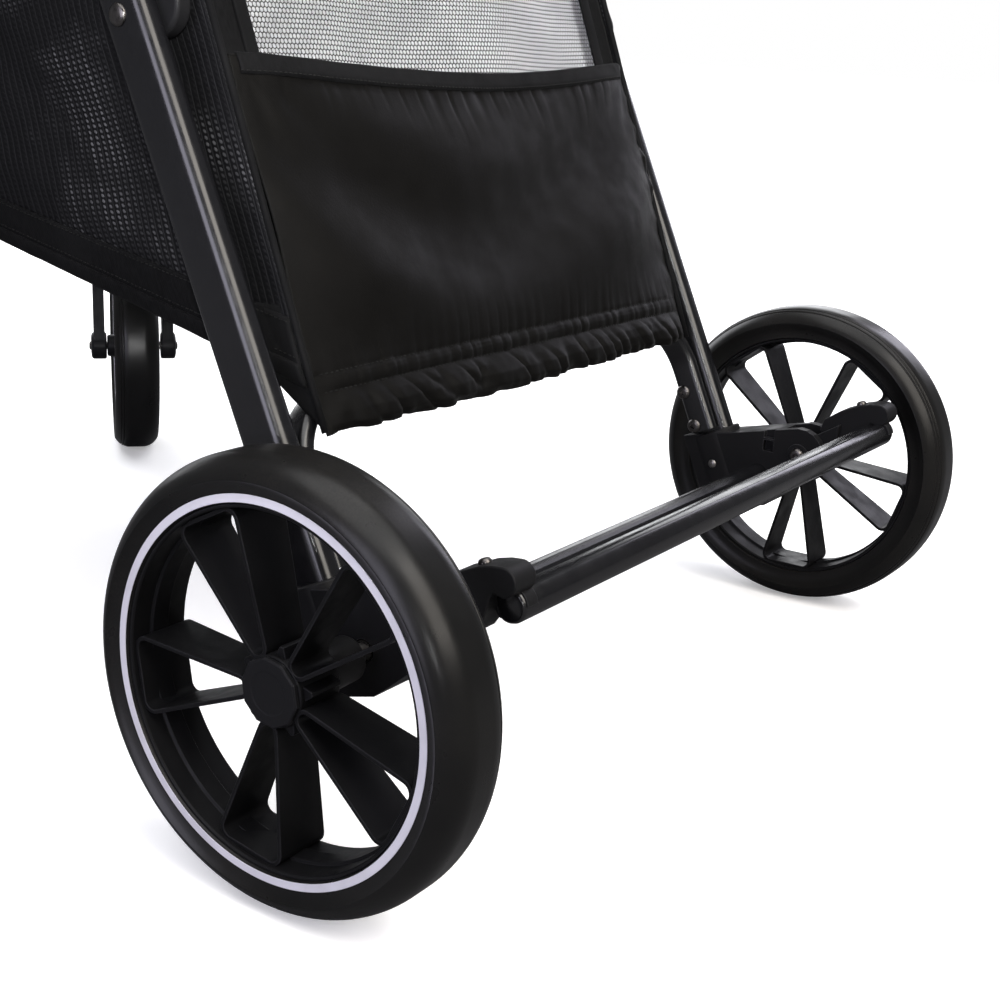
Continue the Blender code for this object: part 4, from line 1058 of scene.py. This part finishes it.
def build_side(side, sign):
    out = X_AXIS * sign

    def cloth(u, v):
        if v > 0.97:
            rise = (v - 0.97) / 0.03
            return side_point(sign, u, 0.999) + out * (0.0040 * rise) + UP * (0.0095 * rise)
        return side_point(sign, u, v / 0.97)

    panel = grid_piece(f"side_cloth_{side}", cloth, 150, 110, "knit", (f"side_panel_{side}",))

    def band(u, v):
        """The wide binding along the bottom edge."""
        drop = 0.0085 * (1.0 - u) ** 2 + 0.0015
        lean = REAR_SLOPE * (1.0 - u) ** 4
        low = side_point(sign, u, 0.0, 0.0014) - Vector((0.0, -drop * lean, drop))
        high = side_point(sign, u, 0.078, 0.0016)
        ripple = 0.0005 * fold_noise(u * 0.54, v * 0.03, 60.0, 5.0)
        return low.lerp(high, v) + out * (0.0009 * swell(v) + ripple)

    def second(u, v):
        """The rolled hem along the binding's lower third."""
        low, high = band(u, 0.0) + out * 0.0009, band(u, 0.34) + out * 0.0011
        return low.lerp(high, v) + out * (0.0010 * swell(v))

    def corner(u, v):
        """Gusset from the binding's rear end to the rear wall."""
        start = band(0.055, v) + out * 0.0006
        end = rear_plane(sign * 0.2094, 0.2185 + 0.0660 * v, 0.0014)
        puff = 0.0018 * math.sin(math.pi * u) * math.sin(math.pi * (0.15 + 0.7 * v))
        return start.lerp(end, u) + out * puff

    binding = grid_piece(f"side_binding_{side}", band, 150, 10, "binding", thick=0.0012)
    hem = grid_piece(f"side_hem_{side}", second, 150, 6, "binding", thick=0.0010)
    rear = [Vector((sign * 0.2100, -0.0660, 0.2180))]
    rear += [side_point(sign, 0.0, v / 60) + Vector((sign * -0.0004, 0.0018, 0.0))
             for v in range(61)]
    piping = cord(f"rear_piping_{side}", rear, 0.0021, X_AXIS)
    for label, v in (("a", 0.93), ("b", 0.42)):
        points = [band(i / 120, v) + out * 0.0008 for i in range(121)]
        stitch_row(f"side_stitch_{side}_{label}", points, out)
    gusset = grid_piece(f"side_corner_{side}", corner, 24, 24, "binding", thick=0.0010)
    declare_sheet(panel)

    def inner(u, v):
        """Pale liner inside the cabin, cut low towards the rear."""
        low = Vector((0.0, -0.118, 0.266)).lerp(Vector((0.0, -0.612, 0.353)), u)
        y_top = -0.160 - 0.470 * u
        rise = clamp((-y_top - 0.158) / 0.150)
        point = low.lerp(Vector((0.0, y_top, 0.418 + 0.150 * rise ** 0.55)), v)
        soft = math.sin(math.pi * clamp(v)) * math.sin(math.pi * u)
        x = LINING_X - 0.0030 * soft - 0.0012 * fold_noise(point.y, point.z, 14.0, 2.0 + sign)
        return rounded_corner(Vector((sign * x, point.y, point.z)), True, LINING_X, 0.0065)

    liner = grid_piece(f"side_lining_{side}", inner, 90, 50, "lining", thick=0.0014)
    rolled = cord(f"lining_edge_{side}", [inner(i / 60, 1.0) for i in range(61)], 0.0016, X_AXIS, 8)
    declare_sheet(liner)


def build_rear_wall():
    low, high = REAR_LOW_Z - 0.022, 0.6015
    window_x, window_low, window_high = 0.1850, 0.3950, 0.5790

    def wall(u, v):
        x, z = CABIN_HALF * (1.0 - 2.0 * u), low + (high - low) * v
        return rear_plane(x, z, -0.0020 + 0.0008 * fold_noise(x, z, 16.0, 1.0))

    cloth = grid_piece("rear_wall_cloth", wall, 140, 110, "binding", ("rear_wall",),
                       keep=lambda c: not (abs(c.x) < window_x and window_low < c.z < window_high))

    def net_place(x, y):
        z = window_low - 0.004 + y
        wave = 0.0022 * math.sin(x * 34.0 + z * 22.0) + 0.0022 * fold_noise(x, z, 9.0, 6.0)
        skew = 0.0034 * math.sin(x * 19.0 + z * 14.0) + 0.0016 * math.sin(x * 7.0 - z * 60.0)
        return rear_plane(x + skew, z, -0.0030 + wave)

    tall = window_high - window_low
    pieces = [hex_net("rear_net", net_place, 2 * window_x + 0.008, tall + 0.006, 0.0032,
                      lambda x, y: abs(x) < window_x + 0.003 and y < tall + 0.007)]
    border = flat_oval(0.0030, 0.0100, 0.0012, 3)
    for label, *ends in (("left", (window_x, window_low), (window_x, window_high + 0.004)),
                         ("right", (-window_x, window_low), (-window_x, window_high + 0.004)),
                         ("top", (window_x + 0.004, window_high), (-window_x - 0.004, window_high))):
        path = line(*(rear_plane(x, z, -0.0006) for x, z in ends), 24)
        tape = sweep(f"window_tape_{label}", path, border, REAR_NORMAL, "binding", "front_frame",
                     sharp=40.0)
        pieces.append(bevel(tape, 0.0003))
    top = line(rear_plane(0.207, 0.6035, -0.0015), rear_plane(-0.207, 0.6035, -0.0015), 30)
    pieces.append(cord("rear_top_piping", top, 0.0024, UP))
    declare_sheet(cloth)


POCKET_HALF = 0.2078
# (offset from the wall, height) from inside the pocket's hem, round it and up to the mouth
PROFILE = np.array((
    (0.0034, 0.2290), (0.0050, 0.2225), (0.0082, 0.2178), (0.0122, 0.2172), (0.0158, 0.2204),
    (0.0166, 0.2262), (0.0150, 0.2318), (0.0126, 0.2358), (0.0116, 0.2374), (0.0130, 0.2396),
    (0.0136, 0.2420), (0.0132, 0.2448), (0.0120, 0.2470), (0.0128, 0.2500), (0.0134, 0.2600),
    (0.0138, 0.2900), (0.0138, 0.3300), (0.0134, 0.3700), (0.0128, 0.3900), (0.0126, 0.3950),
    (0.0134, 0.3975), (0.0130, 0.4048)))
ALONG = np.concatenate([[0.0], np.cumsum(np.hypot(*np.diff(PROFILE, axis=0).T))])
# Distance along the profile to the hem's two seams, the foot of the mouth's tape and the top edge
HEM_LOW, HEM_HIGH, MOUTH, TOP = (float(ALONG[index]) for index in (8, 12, 19, -1))


def bumps(x, y, z):
    return field.noise(Vector((x, y, z)))


def creases(x, y, z, width):
    """1 along the lines where the noise passes through zero, falling off to both sides."""
    return math.exp(-(bumps(x, y, z) / width) ** 2)


def pocket_folds(x, z, t, front, rise):
    """How far the pocket's front stands out: broad folds, gathers at the mouth, tucks at the hem."""
    smile = front * 2.6 - 1.1 * t * t + 0.22 * math.sin(t * 3.0 + 0.6)
    fade = math.sin(math.pi * min(1.0, front * 1.05)) ** 0.8
    fold = 0.0072 * math.sin(smile * math.pi + 1.0) * fade * (1.0 - 0.35 * abs(t))
    fold += 0.0035 * math.exp(-((front - 0.45 + 0.20 * t * t) / 0.20) ** 2) * (1 - t * t)
    for pin in (0.2, -0.2):
        corner = math.hypot(x - pin, z - 0.405)
        turn = math.atan2(z - 0.405, (x - pin) * math.copysign(1.0, pin))
        fold += 0.0011 * math.sin(turn * 8.0) * math.exp(-corner / 0.07) * min(1.0, corner / 0.03)
    if z < 0.3955 + rise:
        near = 1.0 - max(0.0, 0.395 + rise - z) / (0.034 + 0.012 * math.sin(x * 47.0))
        fold -= 0.0013 * creases(x * 62.0, 5.0, 1.0, 0.14) * max(0.0, near) ** 2 * (1.0 - 0.4 * abs(t))
    low = max(0.0, 1.0 - (z - 0.247) / 0.034) ** 2
    fold -= 0.0007 * creases(x * 95.0, 1.0, 2.0, 0.16) * low
    fold += 0.0016 * bumps(x * 9.0, z * 12.0, 4.0) + 0.0005 * bumps(x * 40.0, z * 50.0, 7.0)
    if t < -0.90:
        saw = abs(((z * 46.0) % 1.0) - 0.5) * 2.0
        fold += (0.0042 * saw - 0.0018) * (-t - 0.90) / 0.10
    return fold


def pocket_point(x, reach):
    """The pocket cloth at sideways place x and distance reach along its profile."""
    offset, z = (float(np.interp(reach, ALONG, column)) for column in PROFILE.T)
    t = x / POCKET_HALF
    front = clamp((z - 0.2480) / 0.1500)
    edge = 1.0 - abs(t) ** 7
    rise = 0.0125 * t * t - 0.0020
    z += rise * front ** 1.5
    if reach > HEM_HIGH:
        fold = pocket_folds(x, z, t, front, rise)
    elif reach > HEM_LOW:
        fold = 0.0009 * bumps(x * 90.0, z * 60.0, 9.0) - 0.0008 * creases(x * 95.0, 1.0, 2.0, 0.16)
    else:
        share = reach / HEM_LOW
        puff = math.sin(math.pi * share) ** 0.7
        broad = bumps(x * 36.0 + 1.3 * share, share * 1.1, 4.0)
        crease = creases(x * 58.0 - 1.5 * share, share * 0.9, 2.0, 0.20)
        small = bumps(x * 150.0, share * 3.0, 6.0)
        fold = puff * (0.0034 * broad - 0.0030 * crease + 0.0009 * small + 0.0012)
        drop = puff * (0.0030 * broad - 0.0022 * crease + 0.0008)
        z -= (drop + 0.0035 * math.sin((t + 1.0) * 1.1)) * (1.0 - share)
    out = max(0.0004, offset * (0.12 + 0.88 * edge) + fold * (0.25 + 0.75 * edge))
    if t < -0.90 and reach > HEM_HIGH:
        out = max(out, 0.0012 + fold * 0.8)
    if abs(t) > 0.95 and reach < HEM_HIGH:
        out *= 1.0 - 0.55 * ((abs(t) - 0.95) / 0.05) ** 2
    return rear_plane(x, z, out)


def build_pocket():
    # Rows are packed more closely round the hem and its two seams than up the front
    marks = np.concatenate([np.linspace(0.0, HEM_HIGH, 60), np.linspace(HEM_HIGH, TOP, 110)[1:]])
    rows = len(marks) - 1

    def cloth(u, v):
        reach = float(np.interp(v * rows, range(rows + 1), marks))
        return pocket_point(POCKET_HALF * (1.0 - 2.0 * u), reach)

    front = grid_piece("pocket_cloth", cloth, 260, rows, "pocket", ("rear_pocket",), thick=0.0008)

    def tape(u, v):
        """Binding that climbs over the mouth and turns down behind it."""
        v *= 1.35
        x = (POCKET_HALF - 0.0050) * (1.0 - 2.0 * u)
        point = pocket_point(x, MOUTH + (TOP - MOUTH) * min(v, 1.0))
        if v > 1.0:
            return point + REAR_NORMAL * 0.0010 + Vector((0.0, -0.0040, 0.0010)) * (v - 1.0)
        return point + REAR_NORMAL * 0.0010 * (0.5 + 0.5 * swell(v))

    pieces = [grid_piece("pocket_tape", tape, 200, 10, "binding", thick=0.0012)]
    for label, reach, lift in (("hem_low", HEM_LOW, 0.0003), ("hem_high", HEM_HIGH, 0.0003),
                               ("mouth", MOUTH + 0.0012, 0.0016)):
        points = [pocket_point(POCKET_HALF * 0.985 * (1.0 - 2.0 * i / 220), reach)
                  + REAR_NORMAL * lift for i in range(221)]
        pieces.append(stitch_row(f"pocket_stitch_{label}", points, REAR_NORMAL))
    declare_sheet(front)


def build_front_wall():
    """The cabin's front cloth, with its seams and piping, and the lining behind it."""
    ahead = Vector((0.0, -1.0, 0.0))

    def front(u, v):
        x = CABIN_HALF * (1.0 - 2.0 * u)
        if v > 0.96:
            rise = (v - 0.96) / 0.04
            point = Vector((x, FRONT_TOP_Y, CABIN_TOP_Z + 0.0095 * rise))
            return rounded_corner(point, along_side=False) + ahead * (0.0040 * rise)
        share = v / 0.96
        y, z = front_line(share)
        held = math.sin(math.pi * share) * math.sin(math.pi * u)
        y -= held * (0.0060 + 0.0020 * fold_noise(x, z, 12.0, 2.5))
        return rounded_corner(Vector((x, y, z)), along_side=False)

    wall = grid_piece("front_cloth", front, 110, 80, "canopy", ("front_wall",))
    for label, v in (("low", 0.10), ("high", 0.90)):
        points = [front(i / 100, v) + ahead * 0.0008 for i in range(101)]
        stitch_row(f"front_stitch_{label}", points, ahead)
    for side, sign in SIDES.items():
        path = [side_point(sign, 1.0, v / 50) + Vector((sign * -0.0006, -0.0016, 0.0))
                for v in range(51)]
        path.append(path[-1] + Vector((sign * 0.0010, -0.0030, 0.0110)))
        cord(f"front_piping_{side}", path, 0.0021, X_AXIS)
    declare_sheet(wall)

    def lining(u, v):
        x = 0.2000 * (1.0 - 2.0 * u)
        y, z = front_line(0.02 + 0.86 * v, 0.0065, 0.004)
        y += 0.0020 * fold_noise(x, z, 12.0, 5.5) * math.sin(math.pi * v)
        return rounded_corner(Vector((x, y, z)), False, LINING_X, 0.0065)

    liner = grid_piece("front_lining", lining, 90, 50, "lining", thick=0.0014)
    edge = cord("front_lining_edge", [lining(i / 60, 1.0) for i in range(61)], 0.0016, UP, 8)
    declare_sheet(liner)


def build_cabin_floor():
    def floor(u, v):
        x = CABIN_HALF * (1.0 - 2.0 * u)
        point = floor_line(-0.0860 - 0.5300 * v, 0.0016)
        held = (math.sin(math.pi * u) * math.sin(math.pi * v)) ** 0.6
        point.z -= held * (0.0070 + 0.0012 * fold_noise(x, point.y, 11.0, 1.5))
        return Vector((x, point.y, point.z))

    under = grid_piece("cabin_floor_cloth", floor, 90, 110, "polyester", ("cabin_floor",))
    declare_sheet(under)


def build_ring_sleeve():
    """Cloth sleeve over the cabin ring, a little uneven."""
    path = ring_path(-0.3150)
    dense = [path[0]]
    for a, b in zip(path, path[1:]):
        dense += line(a, b, max(1, int((b - a).length / 0.006)))[1:]
    verts = []
    sides = 20
    for before, point, after in zip(dense[:1] + dense, dense, dense[1:] + dense[-1:]):
        out = (after - before).normalized().cross(UP).normalized()
        for i in range(sides):
            angle = math.tau * i / sides
            reach = 0.0100 + 0.0004 * field.noise(Vector((point.x, point.y, angle)) * 40.0)
            verts.append(point + (out * math.cos(angle) + UP * math.sin(angle)) * reach)
    make_piece("ring_sleeve", verts, tube_faces(len(dense), sides), "canopy", "front_frame",
               sharp=0.0)


def even_arch(foot_r, top_r, half_x):
    """Points along an arch from foot to foot, at equal steps along its length."""
    power = 2.0 / 3.2
    fine = []
    for step in range(1201):
        angle = math.pi * step / 1200
        c, s = math.cos(angle), max(math.sin(angle), 0.0)
        fine.append((math.copysign(abs(c) ** power, c) * half_x,
                     foot_r + (top_r - foot_r) * s ** power))
    fine = np.array(fine)
    reach = np.concatenate([[0.0], np.cumsum(np.hypot(*np.diff(fine, axis=0).T))])
    want = np.linspace(0.0, reach[-1], ARCH_STEPS + 1)
    return list(zip(*(np.interp(want, reach, column) for column in fine.T)))


def canopy_point(x, radius, angle):
    """A point at a radius and angle round the bows' pivot."""
    return Vector((x, CANOPY_Y + radius * math.cos(angle), CANOPY_Z + radius * math.sin(angle)))


def build_bow(name, body):
    """Puckered cloth sleeve round a canopy bow."""
    angle = BOW_ANGLES[name]
    keep_cad([f"canopy_bow_{name}"], "tube", 0.0)
    path = [canopy_point(x, r, angle) for x, r in even_arch(0.078, CANOPY_R, RING_X)]
    sides = 14
    verts = swept_points(path, circle(0.0060, sides), (0.0, -math.sin(angle), math.cos(angle)))
    for index, vert in enumerate(verts):
        centre = path[index // sides]
        verts[index] = centre + (vert - centre) * (1.0 + 0.06 * field.noise(vert * 90.0))
    make_piece(f"bow_sleeve_{name}", verts, tube_faces(len(path), sides), "canopy", body, sharp=0.0)


def build_canopy_panel(first, second):
    """Cloth between two bows, with a sag and creases between them."""
    name = f"canopy_cloth_{second}"
    curve = even_arch(0.085, CANOPY_R, RING_X)
    start, end = BOW_ANGLES[first], BOW_ANGLES[second]
    margin = 0.0054  # the cloth's edge is tucked inside the bow's sleeve

    def cloth(u, v):
        x, r = curve[round(u * ARCH_STEPS)]
        angle = start + margin / r + (end - start - 2 * margin / r) * v
        slack = math.sin(math.pi * v)
        sag = 0.0085 * slack * min(r / CANOPY_R, 1.0)
        crease = 0.0016 * slack * fold_noise(x * 0.6, angle * 0.3, 14.0, 3.0)
        at_seam = math.exp(-v / 0.07) + math.exp(-(1 - v) / 0.07)
        pull = 0.0007 * math.cos(u * math.tau * 34.0) * at_seam
        return canopy_point(x * (1.0 - 0.010 * slack), r - sag - crease - pull, angle)

    piece = grid_piece(name, cloth, ARCH_STEPS, 40, "canopy", (f"canopy_{second}_panel",), body=None)
    for label, v in (("a", 0.035), ("b", 0.965)):
        points = [cloth(i / ARCH_STEPS, v) for i in range(8, ARCH_STEPS - 7)]
        outs = [(p - Vector((0.0, CANOPY_Y, CANOPY_Z - 0.05))).normalized() for p in points]
        points = [p + n * 0.0007 for p, n in zip(points, outs)]
        row = stitch_row(f"{name}_stitch_{label}", points, outs, 0.0030, 0.0016, None)
        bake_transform(row)
    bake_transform(piece)
    declare_sheet(piece)


def build_canopy():
    for name, body in BOW_BODIES.items():
        build_bow(name, body)
    build_canopy_panel("rear", "mid")
    build_canopy_panel("mid", "front")
    angle = BOW_ANGLES["rear"]
    offset = Vector((0.0, math.sin(angle), -math.cos(angle))) * 0.0056
    near = [canopy_point(x, r, angle) + offset
            for x, r in even_arch(0.085, CANOPY_R, RING_X - 0.001)]
    base_z, top_z = 0.6010, 0.9270
    base_y, top_y = -0.2212, -0.2360
    arch = even_arch(0.6600, top_z, 0.2075)

    def leaning(x, z, outward=0.0):
        """A point on the canopy's rear panel."""
        return Vector((x, base_y + (top_y - base_y) * (z - base_z) / (top_z - base_z) + outward, z))

    def gusset(u, v):
        index = round(u * ARCH_STEPS)
        point = near[index].lerp(leaning(*arch[index]), v)
        inward = Vector((-point.x, 0.0, 0.70 - point.z)).normalized()
        sag = 0.0050 + 0.0012 * fold_noise(point.x, point.z, 15.0, 5.0)
        return point + inward * sag * math.sin(math.pi * v)

    side = grid_piece("canopy_gusset", gusset, ARCH_STEPS, 16, "canopy", ("canopy_rear_panel",))
    window_x, window_low, window_high = 0.1480, 0.6500, 0.8720
    corner = 0.060

    def in_window(x, z, grow=0.0):
        if not (abs(x) < window_x + grow and window_low - grow < z < window_high + grow):
            return False
        cx, cz = abs(x) - (window_x - corner), z - (window_high - corner)
        return cx <= 0 or cz <= 0 or math.hypot(cx, cz) <= corner + grow

    def upright(u, v):
        x, z = arch[round(u * ARCH_STEPS)]
        height = base_z + (z - base_z) * v
        return leaning(x, height, 0.0012 * fold_noise(x, height, 14.0, 9.0))

    back = grid_piece("canopy_back", upright, ARCH_STEPS, 60, "canopy",
                      keep=lambda c: not in_window(c.x, c.z))

    def net_place(x, y):
        return leaning(x, window_low - 0.006 + y, -0.0015 + 0.0015 * fold_noise(x, y, 9.0, 2.0))

    net = hex_net("canopy_net", net_place, 2 * window_x + 0.02, window_high - window_low + 0.02,
                  0.0052, lambda x, y: in_window(x, window_low - 0.006 + y, 0.006), 0.0005)
    half = [(window_x, window_low)]
    half += arc((window_x - corner, window_high - corner), corner, 0.0, 90.0, 12)
    outline = half + [(-x, z) for x, z in reversed(half)] + half[:1]
    tape = sweep("canopy_window_tape", [leaning(x, z, 0.0012) for x, z in outline],
                 flat_oval(0.0036, 0.0150, 0.0014, 3), (0, 1, 0), "binding", "front_frame",
                 sharp=40.0)
    piping = cord("canopy_piping", [leaning(x, z, 0.0008) for x, z in arch], 0.0024, (0, 1, 0))
    declare_sheet(side)
    declare_sheet(back)


def blown_up(cushion, start):
    """Vertex places after a cloth simulation has filled the cushion with pressure."""
    cloth = cushion.modifiers.new("fill", "CLOTH")
    for key, value in {"quality": 5, "mass": 0.25, "tension_stiffness": 18.0,
                       "compression_stiffness": 18.0, "bending_stiffness": 0.6,
                       "use_pressure": True, "uniform_pressure_force": 4.0}.items():
        setattr(cloth.settings, key, value)
    cloth.settings.effector_weights.gravity = 0.0
    cloth.collision_settings.use_collision = False
    for step in range(1, 21):
        bpy.context.scene.frame_set(step)
    bake(cushion)
    bpy.context.scene.frame_set(1)
    shift = np.array([v.co for v in cushion.data.vertices]) - start
    size = np.linalg.norm(shift, axis=1, keepdims=True)
    shift *= np.minimum(1.0, 0.0060 / np.maximum(size, 1e-9))
    shift[:, :2] = np.clip(shift[:, :2], -0.0030, 0.0030)
    return start + shift


def build_floor_pad():
    """Quilted pad: a blown-up cushion, then pressed in along its stitched channels."""
    half_x, half_y, thick = 0.1960, 0.2450, 0.0200
    work = bmesh.new()
    bmesh.ops.create_cube(work, size=1.0)
    for vert in work.verts:
        vert.co = Vector((vert.co.x * 2 * half_x, vert.co.y * 2 * half_y, vert.co.z * thick))
    bmesh.ops.bevel(work, geom=work.edges[:], offset=0.0085, segments=3, affect="EDGES", profile=0.6)
    mesh = bpy.data.meshes.new("floor_cushion")
    work.to_mesh(mesh)
    work.free()
    cushion = bpy.data.objects.new("floor_cushion", mesh)
    bpy.context.scene.collection.objects.link(cushion)
    remesh = cushion.modifiers.new("even faces", "REMESH")
    remesh.mode = "VOXEL"
    remesh.voxel_size = 0.0058
    bake(cushion)
    start = np.array([v.co for v in cushion.data.vertices])
    start = blown_up(cushion, start)
    channels = [-0.168 + 0.042 * i for i in range(9)]
    origin = floor_line(-0.3570, 0.0053 + thick / 2)
    turn = Matrix.Rotation(math.atan(FLOOR_SLOPE), 4, "X")
    for vert, (x, y, z) in zip(cushion.data.vertices, start):
        press = sum(math.exp(-((y - c) / 0.0042) ** 2) for c in channels)
        press = min(press + 0.8 * math.exp(-((abs(x) - 0.172) / 0.0040) ** 2), 1.0)
        if z > 0.0:
            inside = clamp((half_x - abs(x)) / 0.02) * clamp((half_y - abs(y)) / 0.02)
            ripple = 0.0008 * fold_noise(x, y, 26.0, 1.0)
            ripple += 0.0003 * math.sin(x * 150.0 + y * 12.0) * press
            z = min(z, thick * 0.62) + (ripple - 0.0046 * press) * inside
        vert.co = turn @ Vector((x, y, max(z, -thick / 2))) + origin
    smooth = cushion.modifiers.new("finer", "SUBSURF")
    smooth.levels = smooth.render_levels = 1
    bake(cushion)
    cushion.data.shade_smooth()
    cushion.data.materials.append(MATERIALS["lining"])
    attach(cushion, "front_frame")
    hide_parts("floor_pad")
    corners = [Vector((x, y, -0.001)) for x, y in ((half_x, 0.0), (half_x, half_y),
                                                   (-half_x, half_y), (-half_x, -half_y),
                                                   (half_x, -half_y), (half_x, 0.0))]
    path = [turn @ point + origin for point in rounded_path(corners, 0.014, 8)]
    cord("pad_piping", path, 0.0022, UP)


def bake(piece):
    """Replace the mesh with its modifiers' result."""
    bpy.context.view_layer.update()
    graph = bpy.context.evaluated_depsgraph_get()
    made = bpy.data.meshes.new_from_object(piece.evaluated_get(graph), depsgraph=graph)
    piece.modifiers.clear()
    piece.data = made


# Scene -----------------------------------------------------------------------------------------

def add_lamp(name, kind, energy, place, aim, **settings):
    """A lamp at a place that shines along aim."""
    data = bpy.data.lights.new(name, kind)
    data.energy = energy
    for key, value in settings.items():
        setattr(data, key, value)
    lamp = bpy.data.objects.new(name, data)
    lamp.location = place
    lamp.rotation_euler = Vector(aim).to_track_quat("-Z", "Y").to_euler()
    bpy.context.scene.collection.objects.link(lamp)
    return lamp


def build_ground():
    """A wide pale floor that seems almost white to the camera but lights the stroller little."""
    floor_mesh = bpy.data.meshes.new("floor")
    reach = 30.0
    floor_mesh.from_pydata([(-reach, -reach, 0.0), (reach, -reach, 0.0), (reach, reach, 0.0),
                            (-reach, reach, 0.0)], [], [(0, 1, 2, 3)])
    floor = bpy.data.objects.new("floor", floor_mesh)
    bpy.context.scene.collection.objects.link(floor)
    s = Shader("floor_paper", 0.9)
    paper = s.mix(s.noise(0.8, 2.0), (0.95, 0.95, 0.955), (0.98, 0.98, 0.985))
    seen = s.node("ShaderNodeLightPath").outputs["Is Camera Ray"]
    s.colour(s.mix(seen, (0.12, 0.12, 0.125), paper))
    s.rough(3.0, 2.0, 0.85, 0.95)
    s.surface.inputs["Emission Color"].default_value = (1.0, 1.0, 1.0, 1.0)
    s.tree.links.new(s.math("MULTIPLY", seen, 0.28), s.surface.inputs["Emission Strength"])
    floor_mesh.materials.append(s.material)


def build_world():
    """White to the camera and a weak bluish light to everything else."""
    bpy.context.scene.view_settings.view_transform = "Standard"
    world = bpy.data.worlds.new("studio")
    bpy.context.scene.world = world
    world.use_nodes = True
    tree = world.node_tree
    backdrop = tree.nodes["Background"]
    backdrop.inputs["Color"].default_value = (1.0, 1.0, 1.0, 1.0)
    ambient = tree.nodes.new("ShaderNodeBackground")
    ambient.inputs["Color"].default_value = (0.94, 0.95, 1.0, 1.0)
    ambient.inputs["Strength"].default_value = 0.15
    rays = tree.nodes.new("ShaderNodeLightPath")
    either = tree.nodes.new("ShaderNodeMixShader")
    for source, target in ((rays.outputs["Is Camera Ray"], either.inputs["Fac"]),
                           (ambient.outputs["Background"], either.inputs[1]),
                           (backdrop.outputs["Background"], either.inputs[2]),
                           (either.outputs["Shader"], tree.nodes["World Output"].inputs["Surface"])):
        tree.links.new(source, target)


def build_lamps():
    boxes = (
        # name, place, target, width, height, watts, colour
        ("warm_box", (0.38, 1.45, 1.40), (0.24, -0.15, 0.35), 1.30, 1.5, 36.0, (1.0, 0.94, 0.86)),
        ("cool_box", (2.15, 0.07, 0.79), (0.24, -0.15, 0.35), 1.10, 1.4, 26.0, (0.86, 0.84, 1.0)),
        ("far_strip", (-2.60, 0.10, 1.45), (0.0, 0.0, 0.2), 0.60, 2.0, 15.0, (0.90, 0.88, 1.0)),
        ("front_box", (-0.90, -2.60, 1.30), (0.0, -0.40, 0.40), 1.40, 1.6, 34.0, (0.96, 0.97, 1.0)),
        ("right_box", (-2.20, -1.10, 0.90), (0.0, -0.35, 0.40), 1.20, 1.4, 16.0, (0.96, 0.97, 1.0)),
    )
    for name, place, target, width, height, watts, tint in boxes:
        lamp = add_lamp(name, "AREA", watts, place, Vector(target) - Vector(place),
                        shape="RECTANGLE", size=width, size_y=height, color=tint)
        lamp.visible_camera = False
    overhead = add_lamp("overhead", "SUN", 2.95, (0.0, 0.0, 0.0), -UP, angle=math.radians(70.0))
    overhead.rotation_euler = (math.radians(-6.0), math.radians(4.0), 0.0)
    place = Vector((1.95, 1.75, 0.80))
    add_lamp("window_fill", "SPOT", 500.0, place, Vector((-0.10, -0.25, 0.46)) - place,
             spot_size=math.radians(15.0), spot_blend=0.7, shadow_soft_size=0.12)


def build_camera():
    data = bpy.data.cameras.new("camera")
    data.sensor_width = 36.0
    data.lens = 55.03
    data.clip_start = 0.02
    camera = bpy.data.objects.new("camera", data)
    right = Vector((-0.5713, 0.8191, 0.0521)).normalized()
    up = Vector((-0.2108, -0.2078, 0.9552))
    up = (up - right * up.dot(right)).normalized()
    basis = Matrix((right, up, right.cross(up))).transposed()
    camera.matrix_world = Matrix.Translation((0.8327, 0.4724, 0.4339)) @ basis.to_4x4()
    bpy.context.scene.collection.objects.link(camera)
    bpy.context.scene.camera = camera


build_ground()
build_world()
build_lamps()
build_camera()
build_wheels()
build_rear_frame()
build_front_frame()
finish_cad_parts()
for side_name, side_sign in SIDES.items():
    build_side(side_name, side_sign)
build_rear_wall()
build_pocket()
build_front_wall()
build_cabin_floor()
build_ring_sleeve()
build_canopy()
build_floor_pad()
